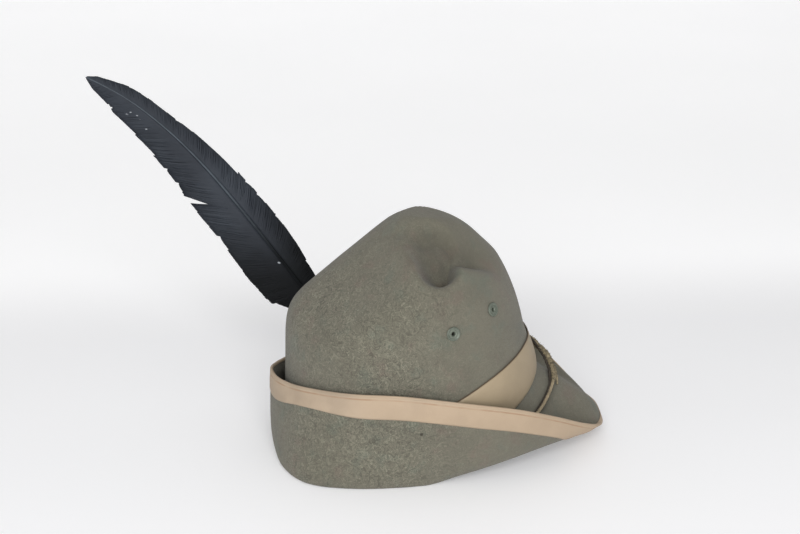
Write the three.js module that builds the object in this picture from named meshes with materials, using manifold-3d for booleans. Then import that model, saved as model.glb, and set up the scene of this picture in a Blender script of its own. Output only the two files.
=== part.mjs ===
// Alpine felt hat: crown and turned-up brim in one felt, a band, a bound rim, a cord with its knot,
// four vent eyelets and a feather in a sleeve.
// Millimetres. X runs forward to the peak, Y to the wearer's left, Z up. The brim's fold rests on Z = 0.
import * as THREE from 'three';
import { mergeVertices } from 'three/addons/utils/BufferGeometryUtils.js';
import Module from 'manifold-3d';

const wasm = await Module();
wasm.setup();

// Driving dimensions
const FELT = 2.6;               // thickness of the felt
const GAP = 0.3;                // clearance between pieces that touch
const EYE_HEIGHT = 60;          // height of the point from which the crown is measured
const CROWN = {
  halfLength: 97.1, halfWidth: 83.0,
  lean: 0.068,                  // forward shift of the wall per millimetre of height
  widen: 0.05,                  // growth of the wall with height, in shares of a hundred millimetres
  domeHeight: 138.4, frontRoundness: 1.66, backRoundness: 3.28,
  frontSlope: 40.8, frontReach: 159.3, frontBlend: 4.55,
  backSlope: 39.4, backReach: 106.8, backBlend: 22.0, backRoof: 0.52,
  ridgeRound: 0.02, wallFloor: 1e-4,
};
// A hollow pressed into each side of the crown, measured on a plane that touches the wall there: ahead
// toward the front and up toward the top
const DENT = { elevation: 62, azimuth: 74, scale: 125 };
// Its pocket lies round the line from low to high. reach is how far the pocket's edge lies from that line
// and floor how far its deep part does, behind the line and ahead of it, both growing along the line.
const POCKET = {
  low: [8, 0], high: [13, 22], depth: 21.5, topShare: 0.76, grow: 0.3, squash: 1.35,
  reach: { behind: 24, ahead: 15 }, floor: { behind: 3, ahead: 9 }, crisp: { behind: 0.7, ahead: 0.3 },
};
// A shallow groove runs on from the pocket up and back
const GROOVE = { low: [2, 28], high: [-7, 39], half: 13, depth: 10, endShare: 0.5 };
// Its shelf lies ahead of the pocket and ends below in a crease
const SHELF = {
  depth: 14, lip: -8, rise: 16, ahead: 18, fadeAhead: 32, fadeLong: 40, fadeUp: 10, fadeHigh: 36,
};
// The front of the crown's foot spreads outward over the peak
const FLARE = { share: 0.075, top: 104, bottom: 60 };
const TINY = 1e-6;              // least length that anything is divided by

// Sections of the brim round the head. turn is degrees from the front, forward and half are the place in
// plan, and the heights are those of the felt's middle.
const FOOT_SECTIONS = [         // where the crown's wall turns out into the brim
  { turn: 0, forward: 101, half: 0, right: 62, left: 62 },
  { turn: 30, forward: 89, half: 40, right: 52, left: 52 },
  { turn: 60, forward: 53, half: 71, right: 34, left: 34 },
  { turn: 90, forward: 0, half: 83, right: 16, left: 16 },
  { turn: 120, forward: -50, half: 72, right: 9, left: 9 },
  { turn: 150, forward: -85, half: 42, right: 7.5, left: 7.5 },
  { turn: 180, forward: -97, half: 0, right: 7.5, left: 7.5 },
];
const FOLD_SECTIONS = [         // the lowest line of the brim, where it turns up
  { turn: 0, forward: 156, half: 0, right: 20.5, left: 20.5 },
  { turn: 8, forward: 153, half: 13, right: 16.5, left: 20 },
  { turn: 17, forward: 146, half: 27, right: 13, left: 25 },
  { turn: 28, forward: 130, half: 43, right: 16, left: 36 },
  { turn: 40, forward: 106, half: 60, right: 18.5, left: 43 },
  { turn: 55, forward: 71, half: 74, right: 14, left: 27 },
  { turn: 70, forward: 33, half: 81.5, right: 6, left: 6 },
  { turn: 80, forward: 12, half: 84.5, right: 1.2, left: 1.2 },
  { turn: 92, forward: -11, half: 86.5, right: 0.7, left: 0.7 },
  { turn: 110, forward: -46, half: 85.5, right: 0.7, left: 0.7 },
  { turn: 130, forward: -80.5, half: 75, right: 0.7, left: 0.7 },
  { turn: 150, forward: -98.5, half: 48, right: 0.7, left: 0.7 },
  { turn: 165, forward: -102.8, half: 24, right: 0.7, left: 0.7 },
  { turn: 180, forward: -104, half: 0, right: 0.7, left: 0.7 },
];
const RIM_SECTIONS = [          // the edge of the brim
  { turn: 0, forward: 161.5, half: 0, right: 10, left: 10 },
  { turn: 8, forward: 159.5, half: 14, right: 11, left: 15 },
  { turn: 17, forward: 152, half: 30, right: 16.5, left: 17.5 },
  { turn: 28, forward: 136, half: 47, right: 27, left: 32.5 },
  { turn: 40, forward: 111, half: 66, right: 43, left: 53 },
  { turn: 55, forward: 78, half: 81, right: 58, left: 64 },
  { turn: 72, forward: 35, half: 91, right: 70, left: 72 },
  { turn: 90, forward: -8, half: 91, right: 77, left: 77 },
  { turn: 110, forward: -47, half: 79, right: 75, left: 73 },
  { turn: 130, forward: -74, half: 60, right: 71, left: 63 },
  { turn: 150, forward: -93.5, half: 37, right: 66, left: 57 },
  { turn: 165, forward: -104, half: 19, right: 64, left: 59 },
  { turn: 180, forward: -108, half: 0, right: 63, left: 63 },
];

// How the felt's middle runs out from the crown's foot to the fold and up to the rim: how far the straight
// starts reach at most, the share of each stretch they take, and how the peak's edge tips down in front
const COURSE = { footReach: 14, wallReach: 26, share: 0.9, peakTurn: 30, peakTip: 0.35, rimShare: 0.6 };

// Heights of the band's two edges round the crown
const BAND_SECTIONS = [
  { turn: 0, low: 64, high: 90 },
  { turn: 30, low: 53, high: 90 },
  { turn: 60, low: 36, high: 79 },
  { turn: 90, low: 21, high: 55 },
  { turn: 120, low: 13, high: 44 },
  { turn: 150, low: 11, high: 40 },
  { turn: 180, low: 11, high: 39 },
];
const BAND_THICK = 1.0;
// The binding covers more of the outer face than of the inner one and rolls over the rim at these angles
const BINDING = { thick: 1.0, outer: 18, inner: 1.4, roll: [-90, -30, 30, 90] };
const CORD = { radius: 1.25, sides: 8, steps: 80, trough: 0.46, rest: 0.6, clearOfBand: 9 };
// The cord's way out from the crown's foot, in degrees from the front, minus to the wearer's left.
// Below zero it lies up on the band. Past the last rows it lies in the trough of the brim.
const CORD_SECTIONS = [
  { turn: -70, out: 12, lift: 0 },
  { turn: -45, out: 1, lift: 0 },
  { turn: -26, out: -11, lift: 0 },
  { turn: -16, out: -13, lift: 0 },
  { turn: -10, out: -7, lift: 1.5 },
  { turn: -5, out: 5, lift: 6 },
  { turn: 0, out: 13, lift: 5 },
  { turn: 5, out: 19, lift: 2 },
  { turn: 14, out: 20, lift: 0 },
  { turn: 60, out: 16, lift: 0 },
];
// The knot's place is given in degrees from the front, minus to the wearer's left
const KNOT = { from: -18, to: 6, ramp: 6, bore: 2, wall: 1.2, dip: 0.4, sides: 8, steps: 12 };
const KNOT_END = { from: 0, radius: 1.1, start: 2.4, turns: 6, spread: 4, steps: 4 };
const EYELET = {
  bore: 1.5, barrel: 2.4, flange: 5.4, flangeThick: 1.0, lip: 0.4, bevel: 1.0, seat: 0.4, inside: 0.8,
  drill: 16, sides: 14,
};
const EYELET_PLACES = [
  { name: 'rear', azimuth: 69.5, elevation: 37.3 },
  { name: 'front', azimuth: 42, elevation: 41.2 },
];

// The feather's quill in the plane of its blade, from the tip down, with the vane's reach on either side
const FEATHER_SECTIONS = [
  { forward: -249.2, height: 281.7, over: 0.6, under: 0.6 },
  { forward: -242.1, height: 278.2, over: 4.2, under: 6.3 },
  { forward: -219.8, height: 265.5, over: 9.2, under: 16.4 },
  { forward: -189.7, height: 241.4, over: 10.6, under: 22.8 },
  { forward: -155, height: 204.4, over: 15.8, under: 29.1 },
  { forward: -136.3, height: 180.6, over: 18.7, under: 30.9 },
  { forward: -118.4, height: 156.5, over: 19.5, under: 30.9 },
  { forward: -98.4, height: 128.5, over: 18.5, under: 32.8 },
  { forward: -82.6, height: 106.3, over: 15, under: 30.6 },
  { forward: -76, height: 96.5, over: 12, under: 20 },
  { forward: -71.5, height: 90.3, over: 6, under: 8 },
  { forward: -70.9, height: 89.5, over: 1.5, under: 1.5 },
  { forward: -62, height: 77, over: 1.5, under: 1.5 },
];
const FEATHER = {
  rows: 32, vane: 0.6, quill: 1.7, tipQuill: 0.6, bareQuill: 0.7, bareFrom: 6, lean: 0.085, baseRow: 1.2,
  slant: 1.0, endSlant: 0.1, slantFrom: 190,
};
// A split in the vane's lower half: its length from the tip, half its width and how much vane it leaves
const NOTCH = { at: 165, half: 2.6, clear: 3.5, keep: 0.5 };
const HOLDER = {
  wall: 1.2, start: 1.5, length: 13, sink: 0.9, sides: 12,
  plateShare: 0.1, plateLong: 18, plateWide: 12, plateThick: 1.0, plateGap: 0.4,
};

const COLOURS = {
  felt: 0x6f6c61, tape: 0xb59c80, cord: 0x8f8262, eyelet: 0x767d70, feather: 0x2a2f36, holder: 0x5f6058,
};

// Small vector helpers on plain triples
const rad = (degrees) => degrees * Math.PI / 180;
const add = (a, b, k = 1) => [a[0] + b[0] * k, a[1] + b[1] * k, a[2] + b[2] * k];
const sub = (a, b) => add(a, b, -1);
const times = (a, k) => a.map((v) => v * k);
const dot = (a, b) => a[0] * b[0] + a[1] * b[1] + a[2] * b[2];
const cross = (a, b) => [a[1] * b[2] - a[2] * b[1], a[2] * b[0] - a[0] * b[2], a[0] * b[1] - a[1] * b[0]];
const size = (a) => Math.hypot(...a);
const unit = (a) => a.map((v) => v / (size(a) || 1));
const mix = (a, b, t) => a.map((v, i) => v + (b[i] - v) * t);
const clamp = (v, low, high) => Math.min(Math.max(v, low), high);
const hermiteEase = (c) => c * c * (3 - 2 * c);
const ease = (t) => hermiteEase(clamp(t, 0, 1));

// A smooth closed curve through the sections, read at a turn in degrees from 0 to 360.
// The left half repeats the right half across the middle plane, with its own heights.
function closedCurve(sections, columns) {
  const inner = sections.slice(1, -1);
  const rows = [
    ...sections.map((s) => ({ turn: s.turn, side: 1, ...s })),
    ...inner.slice().reverse().map((s) => ({ ...s, turn: 360 - s.turn, side: -1 })),
  ];
  const count = rows.length;
  const slopes = columns.map((_, c) => rows.map((row, i) => {
    const before = rows[(i + count - 1) % count];
    const after = rows[(i + 1) % count];
    const back = (row.turn - before.turn + 360) % 360;
    const fore = (after.turn - row.turn + 360) % 360;
    const a = (columns[c](row) - columns[c](before)) / back;
    const b = (columns[c](after) - columns[c](row)) / fore;
    return (a * fore + b * back) / (back + fore);
  }));
  return (turn) => {
    const t = ((turn % 360) + 360) % 360;
    const i = rows.findIndex((row, k) => t >= row.turn && (k === count - 1 || t < rows[k + 1].turn));
    const next = (i + 1) % count;
    const span = (rows[next].turn - rows[i].turn + 360) % 360;
    const u = (t - rows[i].turn) / span;
    return columns.map((column, c) => hermite(column(rows[i]), slopes[c][i] * span, column(rows[next]),
      slopes[c][next] * span, u));
  };
}

function hermite(p, m, q, n, t) {
  const t2 = t * t;
  const t3 = t2 * t;
  return (2 * t3 - 3 * t2 + 1) * p + (t3 - 2 * t2 + t) * m + (3 * t2 - 2 * t3) * q + (t3 - t2) * n;
}
const hermitePoint = (p, m, q, n, t) => p.map((v, i) => hermite(v, m[i], q[i], n[i], t));

const brimColumns = [
  (row) => row.forward,
  (row) => -(row.side ?? 1) * row.half,
  (row) => (row.side === -1 ? row.left : row.right),
];
const footCurve = closedCurve(FOOT_SECTIONS, brimColumns);
const foldCurve = closedCurve(FOLD_SECTIONS, brimColumns);
const rimCurve = closedCurve(RIM_SECTIONS, brimColumns);
const bandCurve = closedCurve(BAND_SECTIONS, [(row) => row.low, (row) => row.high]);

// Distance share of the crown along a direction: the wall is an oval that leans and widens, the top a
// dome, and two sloping planes, the rear one a roof that falls off sideways, cut it at front and back.
function crownGauge([x, y, z]) {
  const wall = Math.max(Math.hypot((x - CROWN.lean * z) / CROWN.halfLength, y / CROWN.halfWidth)
    - CROWN.widen * z / 100, CROWN.wallFloor);
  const top = Math.max(z, 0) / CROWN.domeHeight;
  const power = CROWN.frontRoundness + (CROWN.backRoundness - CROWN.frontRoundness) * (1 - x) / 2;
  const dome = (wall ** power + top ** power) ** (1 / power);
  const f = rad(CROWN.frontSlope);
  const front = Math.max(Math.sin(f) * x + Math.cos(f) * z, 0) / CROWN.frontReach;
  const rounded = (dome ** CROWN.frontBlend + front ** CROWN.frontBlend) ** (1 / CROWN.frontBlend);
  const b = rad(CROWN.backSlope);
  const roof = CROWN.backRoof * (Math.sqrt(y * y + CROWN.ridgeRound) - Math.sqrt(CROWN.ridgeRound));
  const back = Math.max(-Math.sin(b) * x + Math.cos(b) * z + roof, 0) / CROWN.backReach;
  return (rounded ** CROWN.backBlend + back ** CROWN.backBlend) ** (1 / CROWN.backBlend);
}

function direction(azimuth, elevation) {
  const level = Math.cos(elevation);
  return [level * Math.cos(azimuth), level * Math.sin(azimuth), Math.sin(elevation)];
}

// Share of the way along a short line, distance ahead of it, and distance past its ends
function fromLine({ low, high }, ahead, up) {
  const line = [high[0] - low[0], high[1] - low[1]];
  const length = Math.hypot(line[0], line[1]);
  const along = ((ahead - low[0]) * line[0] + (up - low[1]) * line[1]) / length;
  const aside = ((ahead - low[0]) * line[1] - (up - low[1]) * line[0]) / length;
  const inside = clamp(along, 0, length);
  return { share: inside / length, aside, past: along - inside };
}

// Depth of the pocket and its groove: the wall sinks in from the pocket's edge to its floor, over a long
// slope behind and a short one ahead, and the pocket widens and grows shallow toward its upper end
function pocketDepth(ahead, up) {
  const { share, aside, past } = fromLine(POCKET, ahead, up);
  const away = Math.max(Math.hypot(aside, past > 0 ? past * POCKET.squash : past), TINY);
  const fore = ease(0.5 + 0.5 * aside / away);
  const blend = ({ behind, ahead: front }) => behind + (front - behind) * fore;
  const grow = 1 + POCKET.grow * share;
  const reach = blend(POCKET.reach) * grow;
  const floor = blend(POCKET.floor) * grow;
  const sunk = clamp((reach - away) / (reach - floor), 0, 1);
  const crisp = blend(POCKET.crisp);
  const form = crisp * sunk * (2 - sunk) + (1 - crisp) * ease(sunk);
  const deep = POCKET.depth * form * (1 - (1 - POCKET.topShare) * ease(share));
  const line = fromLine(GROOVE, ahead, up);
  const fade = 1 - GROOVE.endShare * line.share;
  const groove = GROOVE.depth * ease(1 - Math.hypot(line.aside, line.past) / GROOVE.half) * fade;
  return Math.cbrt(deep ** 3 + groove ** 3);
}

function shelfDepth(ahead, up) {
  const start = ease((up - SHELF.lip) / SHELF.rise) * ease(ahead / SHELF.ahead);
  return SHELF.depth * start * (1 - ease((ahead - SHELF.fadeAhead) / SHELF.fadeLong))
    * (1 - ease((up - SHELF.fadeUp) / SHELF.fadeHigh));
}

// Depth of the side hollows along a direction
function dentDepth([x, y, z]) {
  const e = rad(DENT.elevation);
  const a = -rad(DENT.azimuth);
  const centre = direction(a, e);
  const rise = [-Math.sin(e) * Math.cos(a), -Math.sin(e) * Math.sin(a), Math.cos(e)];
  const level = [-Math.sin(a), Math.cos(a), 0];
  let depth = 0;
  for (const side of [1, -1]) {
    const d = [x, y * side, z];
    if (dot(d, centre) > 0) {
      const ahead = DENT.scale * dot(d, level);
      const up = DENT.scale * dot(d, rise);
      depth += Math.cbrt(pocketDepth(ahead, up) ** 3 + shelfDepth(ahead, up) ** 3);
    }
  }
  return depth;
}

// Middle of the felt on the crown along a direction from the measuring point
function crownPoint(d) {
  const reach = 1 / crownGauge(d) - dentDepth(d) - FELT / 2;
  const p = [d[0] * reach, d[1] * reach, EYE_HEIGHT + d[2] * reach];
  const low = ease((FLARE.top - p[2]) / (FLARE.top - FLARE.bottom));
  const ahead = clamp(p[0] / CROWN.halfLength, 0, 1);
  const grow = 1 + FLARE.share * low * ahead * (2 - ahead);
  return [p[0] * grow, p[1] * grow, p[2]];
}

// Middle line of the felt at one turn: from the top of the crown down to its foot, out to the fold and up
// to the rim
const POLE = rad(89.9);
const COUNTS = { crown: 60, foot: 24, wall: 24 };
function middleLine(turn) {
  const foot = unit(sub(footCurve(turn), [0, 0, EYE_HEIGHT]));
  const azimuth = Math.atan2(foot[1], foot[0]);
  const low = Math.asin(foot[2]);
  const points = [];
  for (let i = 0; i <= COUNTS.crown; i += 1) {
    points.push(crownPoint(direction(azimuth, POLE + (low - POLE) * i / COUNTS.crown)));
  }
  const start = points[COUNTS.crown];
  const down = unit(sub(start, points[COUNTS.crown - 1]));
  const fold = foldCurve(turn);
  const rim = rimCurve(turn);
  const outLength = size(sub(fold, start));
  const upLength = size(sub(rim, fold));
  const level = unit([fold[0] - start[0], fold[1] - start[1], 0]);
  const slope = unit(sub(fold, start));
  const turnFromFront = Math.min(turn, 360 - turn);
  const frontShare = ease(1 - turnFromFront / COURSE.peakTurn);
  const ahead = unit(mix(level, add(slope, [0, 0, -COURSE.peakTip]), frontShare));
  const rise = unit(sub(rim, fold));
  const end = mix(mix([0, 0, 1], rise, frontShare), rise, COURSE.rimShare);
  const leave = times(down, Math.min(outLength * COURSE.share, COURSE.footReach));
  const arrive = times(ahead, outLength * COURSE.share);
  for (let i = 1; i <= COUNTS.foot; i += 1) {
    points.push(hermitePoint(start, leave, fold, arrive, i / COUNTS.foot));
  }
  const turnUp = times(ahead, Math.min(upLength, COURSE.wallReach));
  const finish = times(end, upLength * COURSE.share);
  for (let i = 1; i <= COUNTS.wall; i += 1) {
    points.push(hermitePoint(fold, turnUp, rim, finish, i / COUNTS.wall));
  }
  return points;
}

// The felt's middle surface as columns round the head, each with its points, its outward normals and
// its running lengths
const COLUMNS = 56;
const FINE = 3;                 // fine columns to each column of the solids
function feltColumns() {
  const total = COLUMNS * FINE;
  const lines = Array.from({ length: total }, (_, k) => middleLine(k * 360 / total));
  return Array.from({ length: COLUMNS }, (_, c) => {
    const k = c * FINE;
    const points = lines[k];
    const before = lines[(k + total - 1) % total];
    const after = lines[(k + 1) % total];
    const normals = points.map((p, i) => {
      const down = sub(points[Math.min(i + 1, points.length - 1)], points[Math.max(i - 1, 0)]);
      const round = sub(after[i], before[i]);
      return unit(cross(down, round)).map((v) => -v);
    });
    const run = [0];
    for (let i = 1; i < points.length; i += 1) run.push(run[i - 1] + size(sub(points[i], points[i - 1])));
    return { turn: k * 360 / total, points, normals, run,
      foot: run[COUNTS.crown], fold: run[COUNTS.crown + COUNTS.foot], end: run[run.length - 1] };
  });
}

// Place and normal at a length along a column
function along(column, length) {
  const s = clamp(length, 0, column.end);
  const i = Math.max(column.run.findIndex((r) => r >= s), 1);
  const t = (s - column.run[i - 1]) / (column.run[i] - column.run[i - 1]);
  return { p: mix(column.points[i - 1], column.points[i], t),
    n: unit(mix(column.normals[i - 1], column.normals[i], t)) };
}
function lifted(column, length, height) {
  const { p, n } = along(column, length);
  return add(p, n, height);
}

// Length along a column at which the crown's wall comes down to a height
function lengthAtHeight(column, height) {
  for (let i = COUNTS.crown + COUNTS.foot; i > 0; i -= 1) {
    const a = column.points[i][2];
    const b = column.points[i - 1][2];
    if (a <= height && b >= height) {
      return column.run[i] + (column.run[i - 1] - column.run[i]) * (height - a) / (b - a);
    }
  }
  return column.foot;
}

// A closed body from rings of points, every ring closed on itself. With poles the first and last rings are
// capped by one point each, and without them the last ring joins the first.
function ringBody(rings, poles = null) {
  const positions = [];
  const index = [];
  const width = rings[0].length;
  rings.forEach((ring) => ring.forEach((p) => positions.push(...p)));
  const at = (r, c) => (r % rings.length) * width + (c % width);
  const spans = poles ? rings.length - 1 : rings.length;
  for (let r = 0; r < spans; r += 1) {
    for (let c = 0; c < width; c += 1) {
      index.push(at(r, c), at(r + 1, c), at(r + 1, c + 1), at(r, c), at(r + 1, c + 1), at(r, c + 1));
    }
  }
  if (poles) {
    const first = rings.length * width;
    positions.push(...poles[0], ...poles[1]);
    for (let c = 0; c < width; c += 1) {
      index.push(first, at(0, c), at(0, c + 1));
      index.push(first + 1, at(rings.length - 1, c + 1), at(rings.length - 1, c));
    }
  }
  const geometry = new THREE.BufferGeometry();
  geometry.setAttribute('position', new THREE.Float32BufferAttribute(positions, 3));
  geometry.setIndex(index);
  return outward(geometry);
}

// Turn a closed body's faces outward where its volume comes out negative
function outward(geometry) {
  const p = geometry.attributes.position;
  const index = geometry.index.array;
  const v = (k) => [p.getX(k), p.getY(k), p.getZ(k)];
  let volume = 0;
  for (let i = 0; i < index.length; i += 3) {
    volume += dot(v(index[i]), cross(v(index[i + 1]), v(index[i + 2])));
  }
  if (volume < 0) {
    for (let i = 0; i < index.length; i += 3) [index[i + 1], index[i + 2]] = [index[i + 2], index[i + 1]];
  }
  return geometry;
}

function toSolid(geometry) {
  const bare = geometry.clone();
  bare.deleteAttribute('normal');
  bare.deleteAttribute('uv');
  const merged = mergeVertices(bare, 1e-4);
  return new wasm.Manifold(new wasm.Mesh({ numProp: 3,
    vertProperties: new Float32Array(merged.attributes.position.array),
    triVerts: new Uint32Array(merged.index.array) }));
}

function fromSolid(solid) {
  const mesh = solid.getMesh();
  const geometry = new THREE.BufferGeometry();
  geometry.setAttribute('position', new THREE.Float32BufferAttribute(mesh.vertProperties, 3));
  geometry.setIndex(new THREE.Uint32BufferAttribute(mesh.triVerts, 1));
  return geometry;
}

// A round bar along a path, its ends closed
function bar(path, radius, sides) {
  const rings = path.map((p, i) => {
    const ahead = unit(sub(path[Math.min(i + 1, path.length - 1)], path[Math.max(i - 1, 0)]));
    const u = unit(cross(Math.abs(ahead[1]) > 0.9 ? [0, 0, 1] : [0, 1, 0], ahead));
    const w = cross(ahead, u);
    return Array.from({ length: sides }, (_, k) => {
      const a = 2 * Math.PI * k / sides;
      return add(add(p, u, radius * Math.cos(a)), w, radius * Math.sin(a));
    });
  });
  return ringBody(rings, [path[0], path[path.length - 1]]);
}

const columns = feltColumns();
const lay = (p) => [p[0], p[1], Math.max(p[2], 0)];

// Lengths along a column at the band's two edges
function bandEdges(column) {
  const [low, high] = bandCurve(column.turn);
  return { low: lengthAtHeight(column, low), high: lengthAtHeight(column, high) };
}

// Rows of the felt: the open crown, the part under the band, the turn-out, the strip that lies on the
// ground, the open wall and the part inside the binding
const FELT_ROWS = { crown: 10, band: 3, foot: 5, wall: 2, binding: 2 };
const CROWN_CROWD = 0.38;       // how much closer the crown's rows lie near the top
const GROUND_STRIP = 3.2;       // half width of the strip that lies on the ground
const OPEN_WALL = 6;            // least height of open wall between that strip and the binding
function feltRowLengths(column) {
  const edges = bandEdges(column);
  const fold = Math.min(column.fold, column.end - BINDING.outer - GROUND_STRIP - OPEN_WALL);
  const stations = [
    { from: 0, to: edges.high, rows: FELT_ROWS.crown, crowd: CROWN_CROWD },
    { from: edges.high, to: edges.low, rows: FELT_ROWS.band },
    { from: edges.low, to: fold - GROUND_STRIP, rows: FELT_ROWS.foot },
    { from: fold - GROUND_STRIP, to: fold + GROUND_STRIP, rows: 2 },
    { from: fold + GROUND_STRIP, to: column.end - BINDING.outer, rows: FELT_ROWS.wall },
    { from: column.end - BINDING.outer, to: column.end, rows: FELT_ROWS.binding },
  ];
  return stations.flatMap(({ from, to, rows, crowd = 0 }) => Array.from({ length: rows }, (_, i) => {
    const share = (i + 1) / rows;
    return from + (to - from) * share * (1 - crowd + crowd * share ** 2);
  }));
}

function feltBody() {
  const lengths = columns.map(feltRowLengths);
  const ring = (r, side) => columns.map((column, c) => lay(lifted(column, lengths[c][r], side * FELT / 2)));
  const count = lengths[0].length;
  const rings = [];
  for (let r = 0; r < count; r += 1) rings.push(ring(r, 1));
  for (let r = count - 1; r >= 0; r -= 1) rings.push(ring(r, -1));
  const top = crownPoint(direction(0, Math.PI / 2));
  let body = toSolid(ringBody(rings, [add(top, [0, 0, FELT / 2]), add(top, [0, 0, -FELT / 2])]));
  for (const place of eyeletPlaces()) {
    const bore = EYELET.barrel + GAP;
    const drill = new THREE.CylinderGeometry(bore, bore, EYELET.drill, EYELET.sides);
    body = body.subtract(toSolid(aimed(drill, place)));
  }
  return fromSolid(body);
}

// Centre and outward normal of each eyelet on the crown's middle surface
function eyeletPlaces() {
  const places = [];
  for (const [side, sign] of [['right', -1], ['left', 1]]) {
    for (const spot of EYELET_PLACES) {
      const a = sign * rad(spot.azimuth);
      const e = rad(spot.elevation);
      const step = rad(1);
      const p = crownPoint(direction(a, e));
      const n = unit(cross(sub(crownPoint(direction(a + step, e)), crownPoint(direction(a - step, e))),
        sub(crownPoint(direction(a, e + step)), crownPoint(direction(a, e - step)))));
      places.push({ name: `vent_eyelet_${side}_${spot.name}`, p, n });
    }
  }
  return places;
}

// Move a shape made round the Y axis to a place, its Y axis along the place's normal
function aimed(geometry, place) {
  const normal = new THREE.Vector3(...place.n);
  const turn = new THREE.Quaternion().setFromUnitVectors(new THREE.Vector3(0, 1, 0), normal);
  return geometry.applyQuaternion(turn).translate(...place.p);
}

function eyelet(place) {
  const low = -FELT / 2 - EYELET.inside;
  const seat = FELT / 2 + EYELET.seat;
  const top = seat + EYELET.flangeThick;
  const outline = [[EYELET.bore, low], [EYELET.barrel, low], [EYELET.barrel, seat], [EYELET.flange, seat],
    [EYELET.flange, seat + EYELET.lip], [EYELET.flange - EYELET.bevel, top], [EYELET.barrel, top],
    [EYELET.bore, top - EYELET.lip], [EYELET.bore, low]];
  const ring = new THREE.LatheGeometry(outline.map(([r, h]) => new THREE.Vector2(r, h)), EYELET.sides);
  return fromSolid(toSolid(aimed(ring, place)));
}

// A strip that follows the felt at a distance, from its upper edge down its inner face and up its outer face
function hatBand() {
  const shares = Array.from({ length: FELT_ROWS.band + 1 }, (_, i) => i / FELT_ROWS.band);
  const near = FELT / 2 + GAP;
  const rings = [];
  for (const [height, order] of [[near, shares], [near + BAND_THICK, shares.slice().reverse()]]) {
    for (const share of order) {
      rings.push(columns.map((column) => {
        const { low, high } = bandEdges(column);
        return lifted(column, high + (low - high) * share, height);
      }));
    }
  }
  return ringBody(rings);
}

// The binding's section folds over the rim: up the outer face, round the edge and a little way down inside
function brimBinding() {
  const near = FELT / 2 + GAP;
  const far = near + BINDING.thick;
  const turns = BINDING.roll;
  const section = [];
  const leg = (height, back) => (column) => lifted(column, column.end - back, height);
  const roll = (radius, degrees) => (column) => {
    const end = along(column, column.end);
    const before = along(column, column.end - 1);
    const out = unit(sub(end.p, before.p));
    const a = rad(degrees);
    return add(add(end.p, end.n, radius * Math.sin(a)), out, radius * Math.cos(a));
  };
  section.push(leg(-far, BINDING.outer), leg(-far, BINDING.outer / 2));
  turns.forEach((t) => section.push(roll(far, t)));
  section.push(leg(far, BINDING.inner), leg(near, BINDING.inner));
  turns.slice().reverse().forEach((t) => section.push(roll(near, t)));
  section.push(leg(-near, BINDING.outer / 2), leg(-near, BINDING.outer));
  return ringBody(section.map((place) => columns.map(place)));
}

// Middle of the felt on the brim at any turn, a length out from the crown's foot
function brimPlace(turn, out) {
  const t = (((turn % 360) + 360) % 360) * COLUMNS / 360;
  const c = Math.floor(t) % COLUMNS;
  const pair = [columns[c], columns[(c + 1) % COLUMNS]];
  const [a, b] = pair.map((column) => along(column, column.foot + out(column)));
  const share = t - Math.floor(t);
  return { p: mix(a.p, b.p, share), n: unit(mix(a.n, b.n, share)) };
}

const signedTurn = (turn) => ((((turn + 180) % 360) + 360) % 360) - 180;
const knotRadius = KNOT.bore + KNOT.wall;

function cordSection(turn, name) {
  const rows = CORD_SECTIONS;
  const t = signedTurn(turn);
  if (t <= rows[0].turn || t >= rows[rows.length - 1].turn) return null;
  const i = rows.findIndex((row, k) => t >= row.turn && t < rows[k + 1].turn);
  const share = ease((t - rows[i].turn) / (rows[i + 1].turn - rows[i].turn));
  return rows[i][name] + (rows[i + 1][name] - rows[i][name]) * share;
}

// Way out from the crown's foot along a column: by the sections in front, and never past the trough
function cordOut(column, turn) {
  const trough = (column.fold - column.foot) * CORD.trough;
  return Math.min(cordSection(turn, 'out') ?? trough, trough);
}

// Centre line of the cord: it rests on the felt or on the band, and its knot lifts it
function cordPoint(turn) {
  const t = signedTurn(turn);
  const intoKnot = ease((t - KNOT.from + KNOT.ramp) / KNOT.ramp);
  const outOfKnot = ease((KNOT.to + KNOT.ramp - t) / KNOT.ramp);
  const out = cordOut(columns[Math.floor((((turn % 360) + 360) % 360) * COLUMNS / 360)], turn);
  const onBand = ease((CORD.clearOfBand - out) / CORD.clearOfBand) * (BAND_THICK + GAP);
  const { p, n } = brimPlace(turn, (column) => cordOut(column, turn));
  const lift = cordSection(turn, 'lift') ?? 0;
  const knotLift = (knotRadius - CORD.radius) * intoKnot * outOfKnot;
  return add(p, n, FELT / 2 + CORD.rest + CORD.radius + onBand + lift + knotLift);
}

// The cord is straight between its stations, and what is on it follows the same straight pieces
function cordCentre(turn) {
  const step = 360 / CORD.steps;
  const i = Math.floor(turn / step + 1e-6);
  return mix(cordPoint(i * step), cordPoint((i + 1) * step), turn / step - i);
}

function cordRing(turn, radius, sides) {
  const p = cordCentre(turn);
  const ahead = unit(sub(cordCentre(turn + 1), cordCentre(turn - 1)));
  const u = unit(cross(ahead, brimPlace(turn, (column) => cordOut(column, turn)).n));
  const w = cross(u, ahead);
  return Array.from({ length: sides }, (_, k) => {
    const a = 2 * Math.PI * (k + 0.5) / sides;
    return add(add(p, u, radius * Math.cos(a)), w, radius * Math.sin(a));
  });
}

function hatCord() {
  const turns = Array.from({ length: CORD.steps }, (_, i) => i * 360 / CORD.steps);
  return ringBody(turns.map((turn) => cordRing(turn, CORD.radius, CORD.sides)));
}

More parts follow.
